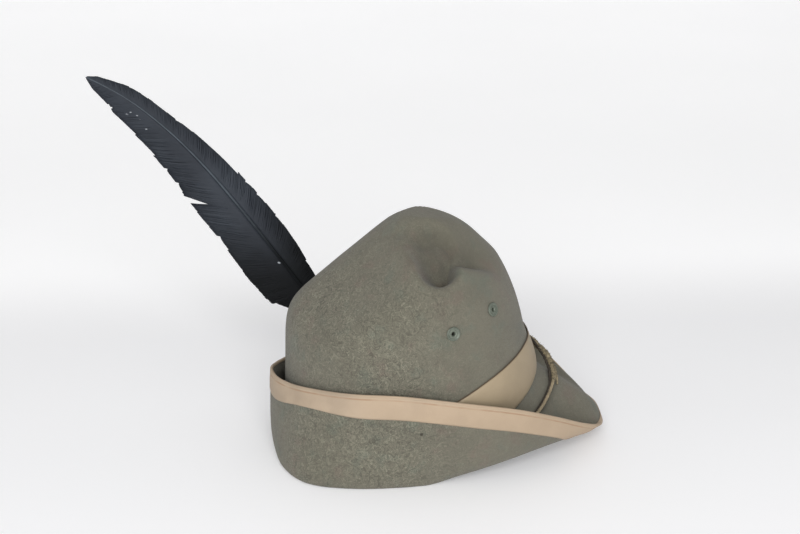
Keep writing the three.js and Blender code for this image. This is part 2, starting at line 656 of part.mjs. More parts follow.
// Wrapped knot: a sleeve of uneven turns round the cord, with one short end laid on the peak
function cordKnot() {
  const step = (KNOT.to - KNOT.from) / KNOT.steps;
  const turns = Array.from({ length: KNOT.steps + 1 }, (_, i) => KNOT.from + step * i);
  const outer = turns.map((t, i) => cordRing(t, knotRadius - (i % 2) * KNOT.dip, KNOT.sides));
  const inner = turns.slice().reverse().map((t) => cordRing(t, KNOT.bore, KNOT.sides));
  const path = Array.from({ length: KNOT_END.steps + 1 }, (_, i) => {
    const share = i / KNOT_END.steps;
    const turn = KNOT_END.from + KNOT_END.turns * share;
    const aside = KNOT_END.start + KNOT_END.spread * share;
    const { p, n } = brimPlace(turn, (column) => cordOut(column, turn) + aside);
    const lift = Math.max(cordSection(turn, 'lift'), knotRadius * (1 - share)) * (1 - share);
    return add(p, n, FELT / 2 + CORD.rest + KNOT_END.radius + lift);
  });
  const end = bar(path, KNOT_END.radius, CORD.sides);
  return fromSolid(toSolid(ringBody([...outer, ...inner])).add(toSolid(end)));
}

const HALVINGS = 40;
const SETTLING = 12;

// Outward distance in Y of the crown's left wall at a place in the side view, at a height above the felt
function leftWall(forward, height, above) {
  let low = 0;
  let high = 2 * CROWN.halfWidth;
  for (let i = 0; i < HALVINGS; i += 1) {
    const y = (low + high) / 2;
    const p = [forward, y, height - EYE_HEIGHT];
    const wall = size(sub(crownPoint(unit(p)), [0, 0, EYE_HEIGHT])) + above;
    if (size(p) < wall) low = y; else high = y;
  }
  return (low + high) / 2;
}

// The quill's line: its course in the side view is given, and it leans outward from the sleeve to the tip
const quillFoot = FEATHER_SECTIONS[FEATHER_SECTIONS.length - 1];
const quillSeat = FELT / 2 + GAP + HOLDER.plateThick + HOLDER.wall + GAP + FEATHER.quill - HOLDER.sink;
const quillSide = leftWall(quillFoot.forward, quillFoot.height, quillSeat);
function quillPoint({ forward, height }) {
  const away = Math.hypot(forward - quillFoot.forward, height - quillFoot.height);
  return new THREE.Vector3(forward, quillSide + FEATHER.lean * away, height);
}
const quillPoints = FEATHER_SECTIONS.map(quillPoint);
const quillCurve = new THREE.CatmullRomCurve3(quillPoints);
const quillLength = quillCurve.getLength();
const sectionLengths = quillPoints.map((p, i) => quillPoints.slice(0, i).reduce((sum, q, k) =>
  sum + q.distanceTo(quillPoints[k + 1]), 0));

// Reach of the vane on one side at a length from the tip
function vaneReach(length, side) {
  const last = sectionLengths.length - 1;
  const s = Math.min(Math.max(length, 0), sectionLengths[last] - GAP);
  const i = sectionLengths.findIndex((l, k) => s >= l && s < sectionLengths[k + 1]);
  const share = (s - sectionLengths[i]) / (sectionLengths[i + 1] - sectionLengths[i]);
  return FEATHER_SECTIONS[i][side] + (FEATHER_SECTIONS[i + 1][side] - FEATHER_SECTIONS[i][side]) * share;
}

// The foot of the quill is bare. The barbs slant toward the tip, and less so near the vane's foot.
const bareStart = sectionLengths[sectionLengths.length - 2];
function slantAt(length) {
  const late = ease((length - FEATHER.slantFrom) / (bareStart - FEATHER.slantFrom));
  return FEATHER.slant + (FEATHER.endSlant - FEATHER.slant) * late;
}

// A barb ends where the vane's reach at its own end is
function barbReach(length, side) {
  let reach = vaneReach(length, side);
  if (length >= bareStart) return reach;
  for (let i = 0; i < SETTLING; i += 1) {
    reach = (reach + vaneReach(length - slantAt(length) * reach, side)) / 2;
  }
  return reach;
}

// The feather as one plate: eight points to a slanted section, thin at the edges and thick along the quill
function feather() {
  const step = quillLength / FEATHER.rows;
  const lengths = Array.from({ length: FEATHER.rows + 1 }, (_, i) => i * step).filter((l) =>
    Math.abs(l - NOTCH.at) > NOTCH.clear && Math.abs(l - bareStart) > step / 2);
  lengths.push(NOTCH.at - NOTCH.half, NOTCH.at, NOTCH.at + NOTCH.half);
  lengths.push(bareStart - FEATHER.baseRow, bareStart);
  lengths.sort((a, b) => a - b);
  const rings = lengths.map((length) => {
    const u = length / quillLength;
    const centre = quillCurve.getPointAt(u).toArray();
    const tangent = quillCurve.getTangentAt(u).toArray();
    const over = unit([-tangent[2], 0, tangent[0]]);
    const face = unit(cross(over, tangent));
    const up = barbReach(length, 'over');
    const down = barbReach(length, 'under') * (length === NOTCH.at ? NOTCH.keep : 1);
    const quill = FEATHER.tipQuill + (FEATHER.quill - FEATHER.tipQuill) * u;
    const bare = ease((FEATHER.bareFrom - up) / FEATHER.bareFrom);
    const middle = FEATHER.vane + (quill * FEATHER.bareQuill - FEATHER.vane) * bare;
    const edge = FEATHER.vane / 2;
    const spots = [[up, edge], [up / 2, middle], [0, quill], [-down / 2, middle],
      [-down, edge], [-down / 2, -middle], [0, -quill], [up / 2, -middle]];
    return spots.map(([side, lift]) => {
      const back = -slantAt(length) * Math.abs(side) * (1 - bare);
      return add(add(add(centre, over, side), tangent, back), face, lift);
    });
  });
  return ringBody(rings, [rings[0], rings[rings.length - 1]].map((ring) => mix(ring[2], ring[6], 0.5)));
}

// Plain sleeve for the quill on a small plate that follows the crown
function featherHolder() {
  const foot = quillPoint(quillFoot).toArray();
  const top = quillPoint(FEATHER_SECTIONS[FEATHER_SECTIONS.length - 3]).toArray();
  const up = unit(sub(top, foot));
  const point = (share) => add(foot, up, HOLDER.start + HOLDER.length * share);
  const bore = FEATHER.quill + GAP;
  const tube = bar([0, 0.5, 1].map(point), bore + HOLDER.wall, HOLDER.sides);
  const hole = bar([-0.5, 0.5, 1.5].map(point), bore, HOLDER.sides);
  const middle = point(HOLDER.plateShare);
  const side = unit([up[2], 0, -up[0]]);
  const lengthSteps = [-0.5, -0.25, 0, 0.25, 0.5];
  const widthSteps = [-0.5, 0, 0.5];
  const spot = (u, v, above) => {
    const at = add(add(middle, unit([up[0], 0, up[2]]), u * HOLDER.plateLong), side, v * HOLDER.plateWide);
    return [at[0], leftWall(at[0], at[2], above), at[2]];
  };
  const near = FELT / 2 + HOLDER.plateGap;
  const rings = lengthSteps.map((u) => [
    ...widthSteps.map((v) => spot(u, v, near)),
    ...widthSteps.slice().reverse().map((v) => spot(u, v, near + HOLDER.plateThick)),
  ]);
  const caps = [rings[0], rings[rings.length - 1]].map((ring) => mix(ring[1], ring[4], 0.5));
  return fromSolid(toSolid(ringBody(rings, caps)).add(toSolid(tube)).subtract(toSolid(hole)));
}

// One named mesh for each piece, each with its own material
function piece(name, geometry, colour, roughness, metalness = 0) {
  geometry.computeVertexNormals();
  const material = new THREE.MeshStandardMaterial({ color: colour, roughness, metalness });
  const mesh = new THREE.Mesh(geometry, material);
  mesh.name = name;
  return mesh;
}

const hat = new THREE.Group();
hat.add(piece('felt_body', feltBody(), COLOURS.felt, 0.95));
hat.add(piece('hat_band', hatBand(), COLOURS.tape, 0.7));
hat.add(piece('brim_binding', brimBinding(), COLOURS.tape, 0.65));
hat.add(piece('hat_cord', hatCord(), COLOURS.cord, 0.85));
hat.add(piece('cord_knot', cordKnot(), COLOURS.cord, 0.85));
for (const place of eyeletPlaces()) hat.add(piece(place.name, eyelet(place), COLOURS.eyelet, 0.5, 0.3));
hat.add(piece('feather', feather(), COLOURS.feather, 0.6));
hat.add(piece('feather_holder', featherHolder(), COLOURS.holder, 0.7));

// The origin is the middle of the underside of the whole hat
const bounds = new THREE.Box3().setFromObject(hat);
hat.position.set(-(bounds.min.x + bounds.max.x) / 2, -(bounds.min.y + bounds.max.y) / 2, -bounds.min.z);

export default hat;
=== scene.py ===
"""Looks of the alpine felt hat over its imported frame: felt, band, bound rim, cord, eyelets and feather."""

from __future__ import annotations

import logging
import math
from dataclasses import dataclass
from enum import Enum
from typing import NamedTuple, Sequence

import bpy
import numpy as np
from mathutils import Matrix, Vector


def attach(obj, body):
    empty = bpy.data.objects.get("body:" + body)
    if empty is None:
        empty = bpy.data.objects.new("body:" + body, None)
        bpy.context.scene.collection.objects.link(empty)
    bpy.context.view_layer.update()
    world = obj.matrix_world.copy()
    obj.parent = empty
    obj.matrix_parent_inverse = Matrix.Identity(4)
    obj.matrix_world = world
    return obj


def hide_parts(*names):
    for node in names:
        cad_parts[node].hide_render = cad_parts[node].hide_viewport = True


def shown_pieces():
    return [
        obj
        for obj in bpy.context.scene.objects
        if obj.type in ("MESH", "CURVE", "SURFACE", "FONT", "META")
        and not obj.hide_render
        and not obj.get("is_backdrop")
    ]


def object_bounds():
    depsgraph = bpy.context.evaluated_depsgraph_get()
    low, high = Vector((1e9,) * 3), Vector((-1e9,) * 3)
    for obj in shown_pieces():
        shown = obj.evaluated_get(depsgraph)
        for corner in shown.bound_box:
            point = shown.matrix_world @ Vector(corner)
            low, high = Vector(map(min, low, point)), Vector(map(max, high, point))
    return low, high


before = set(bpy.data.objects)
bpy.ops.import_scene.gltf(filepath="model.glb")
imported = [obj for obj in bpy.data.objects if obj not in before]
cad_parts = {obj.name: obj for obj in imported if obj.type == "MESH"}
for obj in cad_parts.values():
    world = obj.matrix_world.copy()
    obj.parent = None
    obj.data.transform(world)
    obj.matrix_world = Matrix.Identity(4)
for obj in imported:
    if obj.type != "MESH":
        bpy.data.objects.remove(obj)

LOG = logging.getLogger("hat")
Array = np.ndarray
Colour = tuple[float, float, float]
# Metres in a millimetre
MM = 0.001
# Place of the head oval's middle in the frame, in millimetres
HAT_CENTRE = np.array([42.7438, 0.0, 0.0])
# Place inside the head hollow from which the crown is measured, in millimetres from the oval's middle
EYE = np.array([0.0, 0.0, 60.0])
# Thickness of the felt, in millimetres
FELT = 2.6


class Section(NamedTuple):
    """One place round the brim: degrees from the front, place in plan, height on the right and left."""

    turn: float
    forward: float
    half: float
    right: float
    left: float


FOOT_SECTIONS = (
    Section(0, 101, 0, 62, 62),
    Section(30, 89, 40, 52, 52),
    Section(60, 53, 71, 34, 34),
    Section(90, 0, 83, 16, 16),
    Section(120, -50, 72, 9, 9),
    Section(150, -85, 42, 7.5, 7.5),
    Section(180, -97, 0, 7.5, 7.5),
)
FOLD_SECTIONS = (
    Section(0, 156, 0, 20.5, 20.5),
    Section(8, 153, 13, 16.5, 20),
    Section(17, 146, 27, 13, 25),
    Section(28, 130, 43, 16, 36),
    Section(40, 106, 60, 18.5, 43),
    Section(55, 71, 74, 14, 27),
    Section(70, 33, 81.5, 6, 6),
    Section(80, 12, 84.5, 1.2, 1.2),
    Section(92, -11, 86.5, 0.7, 0.7),
    Section(110, -46, 85.5, 0.7, 0.7),
    Section(130, -80.5, 75, 0.7, 0.7),
    Section(150, -98.5, 48, 0.7, 0.7),
    Section(165, -102.8, 24, 0.7, 0.7),
    Section(180, -104, 0, 0.7, 0.7),
)
RIM_SECTIONS = (
    Section(0, 161.5, 0, 10, 10),
    Section(8, 159.5, 14, 11, 15),
    Section(17, 152, 30, 16.5, 17.5),
    Section(28, 136, 47, 27, 32.5),
    Section(40, 111, 66, 43, 53),
    Section(55, 78, 81, 58, 64),
    Section(72, 35, 91, 70, 72),
    Section(90, -8, 91, 77, 77),
    Section(110, -47, 79, 75, 73),
    Section(130, -74, 60, 71, 63),
    Section(150, -93.5, 37, 66, 57),
    Section(165, -104, 19, 64, 59),
    Section(180, -108, 0, 63, 63),
)


class BandSection(NamedTuple):
    """Heights of the band's two edges at one turn."""

    turn: float
    low: float
    high: float


BAND_SECTIONS = (
    BandSection(0, 64, 90),
    BandSection(30, 53, 90),
    BandSection(60, 36, 79),
    BandSection(90, 21, 55),
    BandSection(120, 13, 44),
    BandSection(150, 11, 40),
    BandSection(180, 11, 39),
)


class CordSection(NamedTuple):
    """The cord's way out from the crown's foot and its lift, at a turn from the front, minus to the left."""

    turn: float
    out: float
    lift: float


CORD_SECTIONS = (
    CordSection(-70, 12, 0),
    CordSection(-45, 1, 0),
    CordSection(-26, -11, 0),
    CordSection(-16, -13, 0),
    CordSection(-10, -7, 3.5),
    CordSection(-5, 5, 8),
    CordSection(0, 13, 5.5),
    CordSection(5, 19, 1.5),
    CordSection(14, 20, 0),
    CordSection(60, 16, 0),
)


class QuillSection(NamedTuple):
    """One place on the feather from the tip down, with the vane's reach over and under the quill."""

    forward: float
    height: float
    over: float
    under: float


QUILL_SECTIONS = (
    QuillSection(-249.2, 281.7, 0.6, 0.6),
    QuillSection(-242.1, 278.2, 4.2, 6.3),
    QuillSection(-219.8, 265.5, 9.2, 16.4),
    QuillSection(-189.7, 241.4, 10.6, 22.8),
    QuillSection(-155, 204.4, 15.8, 29.1),
    QuillSection(-136.3, 180.6, 18.7, 30.9),
    QuillSection(-118.4, 156.5, 19.5, 30.9),
    QuillSection(-98.4, 128.5, 18.5, 32.8),
    QuillSection(-82.6, 106.3, 15, 30.6),
    QuillSection(-76, 96.5, 12, 20),
    QuillSection(-71.5, 90.3, 6, 8),
    QuillSection(-70.9, 89.5, 1.5, 1.5),
    QuillSection(-62, 77, 1.5, 1.5),
)
# Roots of the barbs where the vane's edge steps in, over the quill and under it, from the tip
VANE_NICKS = ((41.3, 85.7, 165.4, 179.5, 202.8, 237.3), (38.4, 42.8, 124.5, 142.6, 200.2, 252.3))
# Small hole on the outside of the brim, painted as a dark dot of shade, in millimetres from the head oval's
# middle
PINHOLE = (3.7, -92.4, 47.2)
# Pale specks on the under side: the barb's root, the way out along it, and the size
VANE_SPECKS = ((54.0, 10.9, 0.9), (52.0, 7.7, 0.7), (56.8, 6.7, 0.7), (61.3, 8.0, 0.8), (73.5, 11.0, 0.8),
               (221.5, 3.1, 1.2))


def unit(v: Array) -> Array:
    """Vectors scaled to length one."""
    return v / np.maximum(np.linalg.norm(v, axis=-1, keepdims=True), 1e-12)


def ease(t: Array | float) -> Array:
    """Smooth step from 0 to 1: three times the square less twice the cube of the clamped value."""
    c = np.clip(t, 0.0, 1.0)
    return c * c * (3.0 - 2.0 * c)


def hermite(p: Array, m: Array, q: Array, n: Array, t: Array) -> Array:
    """Cubic from p with slope m at t = 0 to q with slope n at t = 1."""
    t2, t3 = t * t, t * t * t
    return (2 * t3 - 3 * t2 + 1) * p + (t3 - 2 * t2 + t) * m + (3 * t2 - 2 * t3) * q + (t3 - t2) * n


def share_between(value: Array, ends: tuple[float, float]) -> Array:
    """Smooth 0 to 1 as a value goes from the first of two ends to the second."""
    return ease((value - ends[0]) / (ends[1] - ends[0]))


def ripple(points: Array, wave: float, seed: int, waves: int = 16) -> Array:
    """Gentle unevenness over a surface: the mean of many sine waves in seeded directions.

    Args:
        points: places in millimetres, with the last axis x, y, z.
        wave: typical wavelength in millimetres.
        seed: choice of the directions and phases.
        waves: number of sine waves.

    Returns:
        Values of about -0.5 to 0.5, one for each place.
    """
    rng = np.random.default_rng(seed)
    ways = unit(rng.normal(size=(waves, 3))) * (2 * math.pi / wave) * rng.uniform(0.6, 1.5, (waves, 1))
    phases = rng.uniform(0, 2 * math.pi, waves)
    return np.sin(points @ ways.T + phases).mean(axis=-1) * 1.6


def running(path: Array) -> Array:
    """Length run from the first point of a path to each of its points."""
    return np.concatenate([[0], np.cumsum(np.linalg.norm(np.diff(path, axis=0), axis=1))])


def circle(sides: int) -> Array:
    """Angles of points spread evenly round a circle."""
    return np.arange(sides) * 2 * math.pi / sides


def map_places(along: Array, across: Array) -> Array:
    """Map place of every point in metres, from its lengths along and across in millimetres."""
    return np.stack(np.broadcast_arrays(along, across), axis=-1).reshape(-1, 2) * MM


@dataclass(frozen=True)
class ClosedCurve:
    """Smooth closed curve through rows of values at turns from 0 to 360 degrees.

    Between two rows the value follows a cubic whose end slopes are the weighted means of the
    neighbouring straight slopes.
    """

    turns: Array
    values: Array

    @classmethod
    def round_brim(cls, sections: Sequence[Section]) -> "ClosedCurve":
        """Curve of x, y and z round the brim, down the right side and back up the left one."""
        table = np.array(sections, dtype=float)
        right = table[:, [1, 2, 3]] * np.array([1.0, -1.0, 1.0])
        return cls._both_sides(table[:, 0], right, table[:, [1, 2, 4]])

    @classmethod
    def round_band(cls, sections: Sequence[BandSection]) -> "ClosedCurve":
        """Curve of the band's lower and upper height, alike on both sides."""
        table = np.array(sections, dtype=float)
        return cls._both_sides(table[:, 0], table[:, 1:], table[:, 1:])

    @classmethod
    def _both_sides(cls, turns: Array, right: Array, left: Array) -> "ClosedCurve":
        """Curve through the right side's rows from front to back, then the left side's on to the front."""
        back = slice(-2, 0, -1)
        return cls(np.concatenate([turns, 360.0 - turns[back]]), np.concatenate([right, left[back]]))

    def __call__(self, turn: Array) -> Array:
        """Values at the given turns, one row for each."""
        t = np.mod(turn, 360.0)
        ahead = np.mod(np.roll(self.turns, -1) - self.turns, 360.0)
        back = np.roll(ahead, 1)
        fore = (np.roll(self.values, -1, 0) - self.values) / ahead[:, None]
        aft = np.roll(fore, 1, 0)
        slopes = (aft * ahead[:, None] + fore * back[:, None]) / (ahead + back)[:, None]
        i = np.searchsorted(self.turns, t, side="right") - 1
        j = (i + 1) % len(self.turns)
        span = ahead[i][:, None]
        u = (t - self.turns[i])[:, None] / span
        return hermite(self.values[i], slopes[i] * span, self.values[j], slopes[j] * span, u)


@dataclass(frozen=True)
class CrownForm:
    """Outer form of the crown, and the hollow pressed into each of its sides.

    The hollow's pairs are millimetres ahead and up on a plane that touches the wall at the dent's
    place, except that reach, floor and crisp are values behind the pocket and ahead of it.
    """

    half_length: float = 97.1
    half_width: float = 83.0
    lean: float = 0.068
    widen: float = 0.05
    dome_height: float = 138.4
    front_round: float = 1.66
    back_round: float = 3.28
    front_slope: float = math.radians(40.8)
    front_reach: float = 159.3
    front_blend: float = 4.55
    back_slope: float = math.radians(39.4)
    back_reach: float = 106.8
    back_blend: float = 22.0
    back_roof: float = 0.52
    ridge_round: float = 0.02
    flare_share: float = 0.075
    flare_top: float = 104.0
    flare_bottom: float = 60.0
    dent_elevation: float = math.radians(62)
    dent_azimuth: float = math.radians(-74)
    dent_scale: float = 125.0
    pocket_low: tuple[float, float] = (8.0, 0.0)
    pocket_high: tuple[float, float] = (13.0, 22.0)
    pocket_reach: tuple[float, float] = (24.0, 15.0)
    pocket_floor: tuple[float, float] = (3.0, 9.0)
    pocket_grow: float = 0.3
    pocket_squash: float = 1.35
    pocket_depth: float = 21.5
    pocket_top_share: float = 0.76
    pocket_crisp: tuple[float, float] = (0.7, 0.3)
    groove_low: tuple[float, float] = (2.0, 28.0)
    groove_high: tuple[float, float] = (-7.0, 39.0)
    groove_half: float = 13.0
    groove_depth: float = 10.0
    groove_fade: float = 0.5
    shelf_depth: float = 14.0
    shelf_lip: float = -8.0
    shelf_rise: float = 16.0
    shelf_ahead: float = 18.0
    shelf_fade_ahead: tuple[float, float] = (32.0, 40.0)
    shelf_fade_up: tuple[float, float] = (10.0, 36.0)

    def gauge(self, d: Array) -> Array:
        """Inverse of the crown's distance along unit directions.

        The wall is an oval that leans and widens with height, the top a rounded power sum of the wall
        and the height, and two sloping planes cut it in front and behind, the rear one a roof.
        """
        x, y, z = d[..., 0], d[..., 1], d[..., 2]
        wall = np.hypot((x - self.lean * z) / self.half_length, y / self.half_width) - self.widen * z / 100
        wall = np.maximum(wall, 1e-4)
        top = np.maximum(z, 0) / self.dome_height
        power = self.front_round + (self.back_round - self.front_round) * (1 - x) / 2
        dome = (wall**power + top**power) ** (1 / power)
        front = np.maximum(math.sin(self.front_slope) * x + math.cos(self.front_slope) * z, 0)
        blend = self.front_blend
        rounded = (dome**blend + (front / self.front_reach) ** blend) ** (1 / blend)
        roof = self.back_roof * (np.sqrt(y * y + self.ridge_round) - math.sqrt(self.ridge_round))
        back = np.maximum(-math.sin(self.back_slope) * x + math.cos(self.back_slope) * z + roof, 0)
        blend = self.back_blend
        return (rounded**blend + (back / self.back_reach) ** blend) ** (1 / blend)

    @staticmethod
    def _from_line(low: tuple[float, float], high: tuple[float, float], ahead: Array,
                   up: Array) -> tuple[Array, Array, Array]:
        """Share of the way along a short line, distance ahead of it, and distance past its ends."""
        line = np.subtract(high, low)
        length = math.hypot(line[0], line[1])
        along = ((ahead - low[0]) * line[0] + (up - low[1]) * line[1]) / length
        aside = ((ahead - low[0]) * line[1] - (up - low[1]) * line[0]) / length
        inside = np.clip(along, 0, length)
        return inside / length, aside, along - inside

    def pocket(self, ahead: Array, up: Array) -> Array:
        """Depth of the pocket at places on the plane that touches the wall, in millimetres.

        The wall sinks in from the pocket's edge to its floor, over a long slope behind and a short one
        ahead. The pocket widens and grows shallow towards its upper end, where a groove runs on back.
        """
        share, aside, past = self._from_line(self.pocket_low, self.pocket_high, ahead, up)
        away = np.hypot(aside, np.where(past > 0, past * self.pocket_squash, past))
        fore = ease(0.5 + 0.5 * aside / np.maximum(away, 1e-6))
        grow = 1 + self.pocket_grow * share
        reach = (self.pocket_reach[0] + (self.pocket_reach[1] - self.pocket_reach[0]) * fore) * grow
        floor = (self.pocket_floor[0] + (self.pocket_floor[1] - self.pocket_floor[0]) * fore) * grow
        sunk = np.clip((reach - away) / (reach - floor), 0, 1)
        crisp = self.pocket_crisp[0] + (self.pocket_crisp[1] - self.pocket_crisp[0]) * fore
        form = crisp * sunk * (2 - sunk) + (1 - crisp) * ease(sunk)
        deep = self.pocket_depth * form * (1 - (1 - self.pocket_top_share) * ease(share))
        share, aside, past = self._from_line(self.groove_low, self.groove_high, ahead, up)
        groove = self.groove_depth * ease(1 - np.hypot(aside, past) / self.groove_half)
        return np.cbrt(deep**3 + (groove * (1 - self.groove_fade * share)) ** 3)

    def shelf(self, ahead: Array, up: Array) -> Array:
        """Depth of the shelf ahead of the pocket, which ends below in a crease, in millimetres."""
        start = ease((up - self.shelf_lip) / self.shelf_rise) * ease(ahead / self.shelf_ahead)
        (fade_from, fade_long), (fade_up, fade_high) = self.shelf_fade_ahead, self.shelf_fade_up
        return (self.shelf_depth * start * (1 - ease((ahead - fade_from) / fade_long))
                * (1 - ease((up - fade_up) / fade_high)))

    def dent(self, d: Array) -> Array:
        """Depth of the side hollows along unit directions, a pocket and a shelf on each side."""
        a, e = self.dent_azimuth, self.dent_elevation
        centre = np.array([math.cos(e) * math.cos(a), math.cos(e) * math.sin(a), math.sin(e)])
        rise = np.array([-math.sin(e) * math.cos(a), -math.sin(e) * math.sin(a), math.cos(e)])
        level = np.array([-math.sin(a), math.cos(a), 0.0])
        depth = np.zeros(d.shape[:-1])
        for side in (1.0, -1.0):
            v = d * np.array([1.0, side, 1.0])
            ahead, up = self.dent_scale * (v @ level), self.dent_scale * (v @ rise)
            deep = np.cbrt(self.pocket(ahead, up) ** 3 + self.shelf(ahead, up) ** 3)
            depth += np.where(v @ centre > 0, deep, 0.0)
        return depth

    def middle(self, d: Array) -> Array:
        """Middle of the felt along unit directions from the measuring point, in millimetres."""
        reach = 1 / self.gauge(d) - self.dent(d) - FELT / 2
        p = d * reach[..., None] + EYE
        low = ease((self.flare_top - p[..., 2]) / (self.flare_top - self.flare_bottom))
        ahead = np.clip(p[..., 0] / self.half_length, 0, 1)
        grow = 1 + self.flare_share * low * ahead * (2 - ahead)
        return p * np.stack([grow, grow, np.ones_like(grow)], axis=-1)


def directions(azimuth: Array, elevation: Array) -> Array:
    """Unit vectors from azimuths and elevations in radians."""
    level = np.cos(elevation)
    return np.stack([level * np.cos(azimuth), level * np.sin(azimuth), np.sin(elevation)], axis=-1)


@dataclass
class FeltSheet:
    """Middle surface of the felt, as columns round the head that run from the crown's top to the rim.

    Every column goes down the crown to its foot, out to the fold and up to the rim. The two last
    stretches are cubics that leave along the stretch before.
    """

    crown: CrownForm
    columns: int = 360
    crown_rows: int = 90
    foot_rows: int = 16
    wall_rows: int = 28
    foot_reach: float = 14.0
    wall_reach: float = 26.0
    slope_share: float = 0.9
    pole: float = math.radians(89.9)
    peak_turn: float = 30.0
    peak_tip: float = 0.35
    rim_share: float = 0.6

    def __post_init__(self) -> None:
        """Works out the points, normals and running lengths of all columns at once."""
        self.turns = np.arange(self.columns) * 360.0 / self.columns
        foot = unit(ClosedCurve.round_brim(FOOT_SECTIONS)(self.turns) - EYE)
        azimuth = np.arctan2(foot[:, 1], foot[:, 0])[:, None]
        low = np.arcsin(foot[:, 2])[:, None]
        steps = np.linspace(0, 1, self.crown_rows + 1)[None, :]
        elevation = self.pole + (low - self.pole) * steps
        crown = self.crown.middle(directions(azimuth * np.ones_like(steps), elevation))
        start = crown[:, -1]
        down = unit(start - crown[:, -2])
        fold = ClosedCurve.round_brim(FOLD_SECTIONS)(self.turns)
        rim = ClosedCurve.round_brim(RIM_SECTIONS)(self.turns)
        out_length = np.linalg.norm(fold - start, axis=1, keepdims=True)
        up_length = np.linalg.norm(rim - fold, axis=1, keepdims=True)
        level = unit((fold - start) * np.array([1.0, 1.0, 0.0]))
        slope = unit(fold - start) - np.array([0.0, 0.0, self.peak_tip])
        from_front = np.minimum(self.turns, 360 - self.turns)[:, None]
        front = ease(1 - from_front / self.peak_turn)
        ahead = unit(level + (slope - level) * front)
        rise = unit(rim - fold)
        upright = np.array([0.0, 0.0, 1.0])
        end = upright + (rise - upright) * front
        end = end + (rise - end) * self.rim_share
        foot_part = self._stretch(start, down * np.minimum(out_length * self.slope_share, self.foot_reach),
                                  fold, ahead * out_length * self.slope_share, self.foot_rows)
        wall_part = self._stretch(fold, ahead * np.minimum(up_length, self.wall_reach),
                                  rim, end * up_length * self.slope_share, self.wall_rows)
        self.points = np.concatenate([crown, foot_part, wall_part], axis=1)
        along_column = np.gradient(self.points, axis=1)
        around = np.roll(self.points, -1, 0) - np.roll(self.points, 1, 0)
        self.normals = -unit(np.cross(along_column, around))
        steps_run = np.linalg.norm(np.diff(self.points, axis=1), axis=2)
        self.run = np.concatenate([np.zeros((self.columns, 1)), np.cumsum(steps_run, axis=1)], axis=1)
        self.foot = self.run[:, self.crown_rows]
        self.fold = self.run[:, self.crown_rows + self.foot_rows]
        self.end = self.run[:, -1]

    @staticmethod
    def _stretch(start: Array, leave: Array, finish: Array, arrive: Array, rows: int) -> Array:
        """Rows of a cubic stretch of every column, without its first point."""
        t = (np.arange(1, rows + 1) / rows)[None, :, None]
        return hermite(start[:, None], leave[:, None], finish[:, None], arrive[:, None], t)

    def at(self, length: Array) -> tuple[Array, Array]:
        """Places and normals at running lengths along the columns.

        Args:
            length: one row of lengths for each column.

        Returns:
            Points and unit normals, both with shape columns, lengths, 3.
        """
        s = np.clip(length, 0, self.end[:, None])
        i = np.clip((self.run[:, None, :] < s[:, :, None]).sum(-1), 1, self.run.shape[1] - 1)
        before = np.take_along_axis(self.run, i - 1, 1)
        after = np.take_along_axis(self.run, i, 1)
        t = ((s - before) / (after - before))[..., None]
        p = self._pick(self.points, i - 1) * (1 - t) + self._pick(self.points, i) * t
        n = self._pick(self.normals, i - 1) * (1 - t) + self._pick(self.normals, i) * t
        return p, unit(n)

    @staticmethod
    def _pick(field: Array, rows: Array) -> Array:
        """Chosen rows of a field of vectors, for each column its own."""
        return np.take_along_axis(field, rows[..., None], 1)

    def length_at_height(self, height: Array) -> Array:
        """Running length of each column where the crown's wall comes down to a height."""
        z = self.points[:, : self.crown_rows + self.foot_rows + 1, 2]
        past = z > height[:, None]
        i = z.shape[1] - 1 - np.argmax(past[:, ::-1], axis=1)
        rows = np.arange(self.columns)
        j = np.minimum(i + 1, z.shape[1] - 1)
        t = (height - z[rows, i]) / np.minimum(z[rows, j] - z[rows, i], -1e-9)
        return self.run[rows, i] + (self.run[rows, j] - self.run[rows, i]) * t


def lay(points: Array) -> Array:
    """Points kept on or over the surface that the hat rests on."""
    return np.concatenate([points[..., :2], np.maximum(points[..., 2:], 0)], axis=-1)


def grid_quads(rows: int, columns: int, close_rows: bool = False, close_columns: bool = True) -> Array:
    """Quads of a grid of points stored row by row.

    Args:
        rows: number of rows of points.
        columns: number of points in a row.
        close_rows: whether the last row joins the first.
        close_columns: whether the last point of a row joins its first.

    Returns:
        Point indexes, four to a face.
    """
    r = np.arange(rows if close_rows else rows - 1)[:, None]
    c = np.arange(columns if close_columns else columns - 1)[None, :]
    r2, c2 = (r + 1) % rows, (c + 1) % columns
    corners = [r * columns + c, r * columns + c2, r2 * columns + c2, r2 * columns + c]
    return np.stack(np.broadcast_arrays(*corners), axis=-1).reshape(-1, 4)


def fan(centre: int, ring: Array, flip: bool = False) -> Array:
    """Triangles from one point to a closed ring of points."""
    nxt = np.roll(ring, -1)
    middle = np.full_like(ring, centre)
    return np.stack([middle, nxt, ring] if flip else [middle, ring, nxt], axis=1)


def outward(points: Array, quads: Array, tris: Array) -> tuple[Array, Array]:
    """Faces of a closed shape, turned round where its signed volume comes out negative."""
    halves = [quads[:, [0, 1, 2]], quads[:, [0, 2, 3]], tris]
    whole = np.concatenate([h for h in halves if len(h)])
    a, b, c = (points[whole[:, k]] for k in range(3))
    if np.einsum("ij,ij->i", a, np.cross(b, c)).sum() < 0:
        return quads[:, ::-1], tris[:, ::-1]
    return quads, tris


NO_TRIS = np.zeros((0, 3), dtype=int)
NO_QUADS = np.zeros((0, 4), dtype=int)


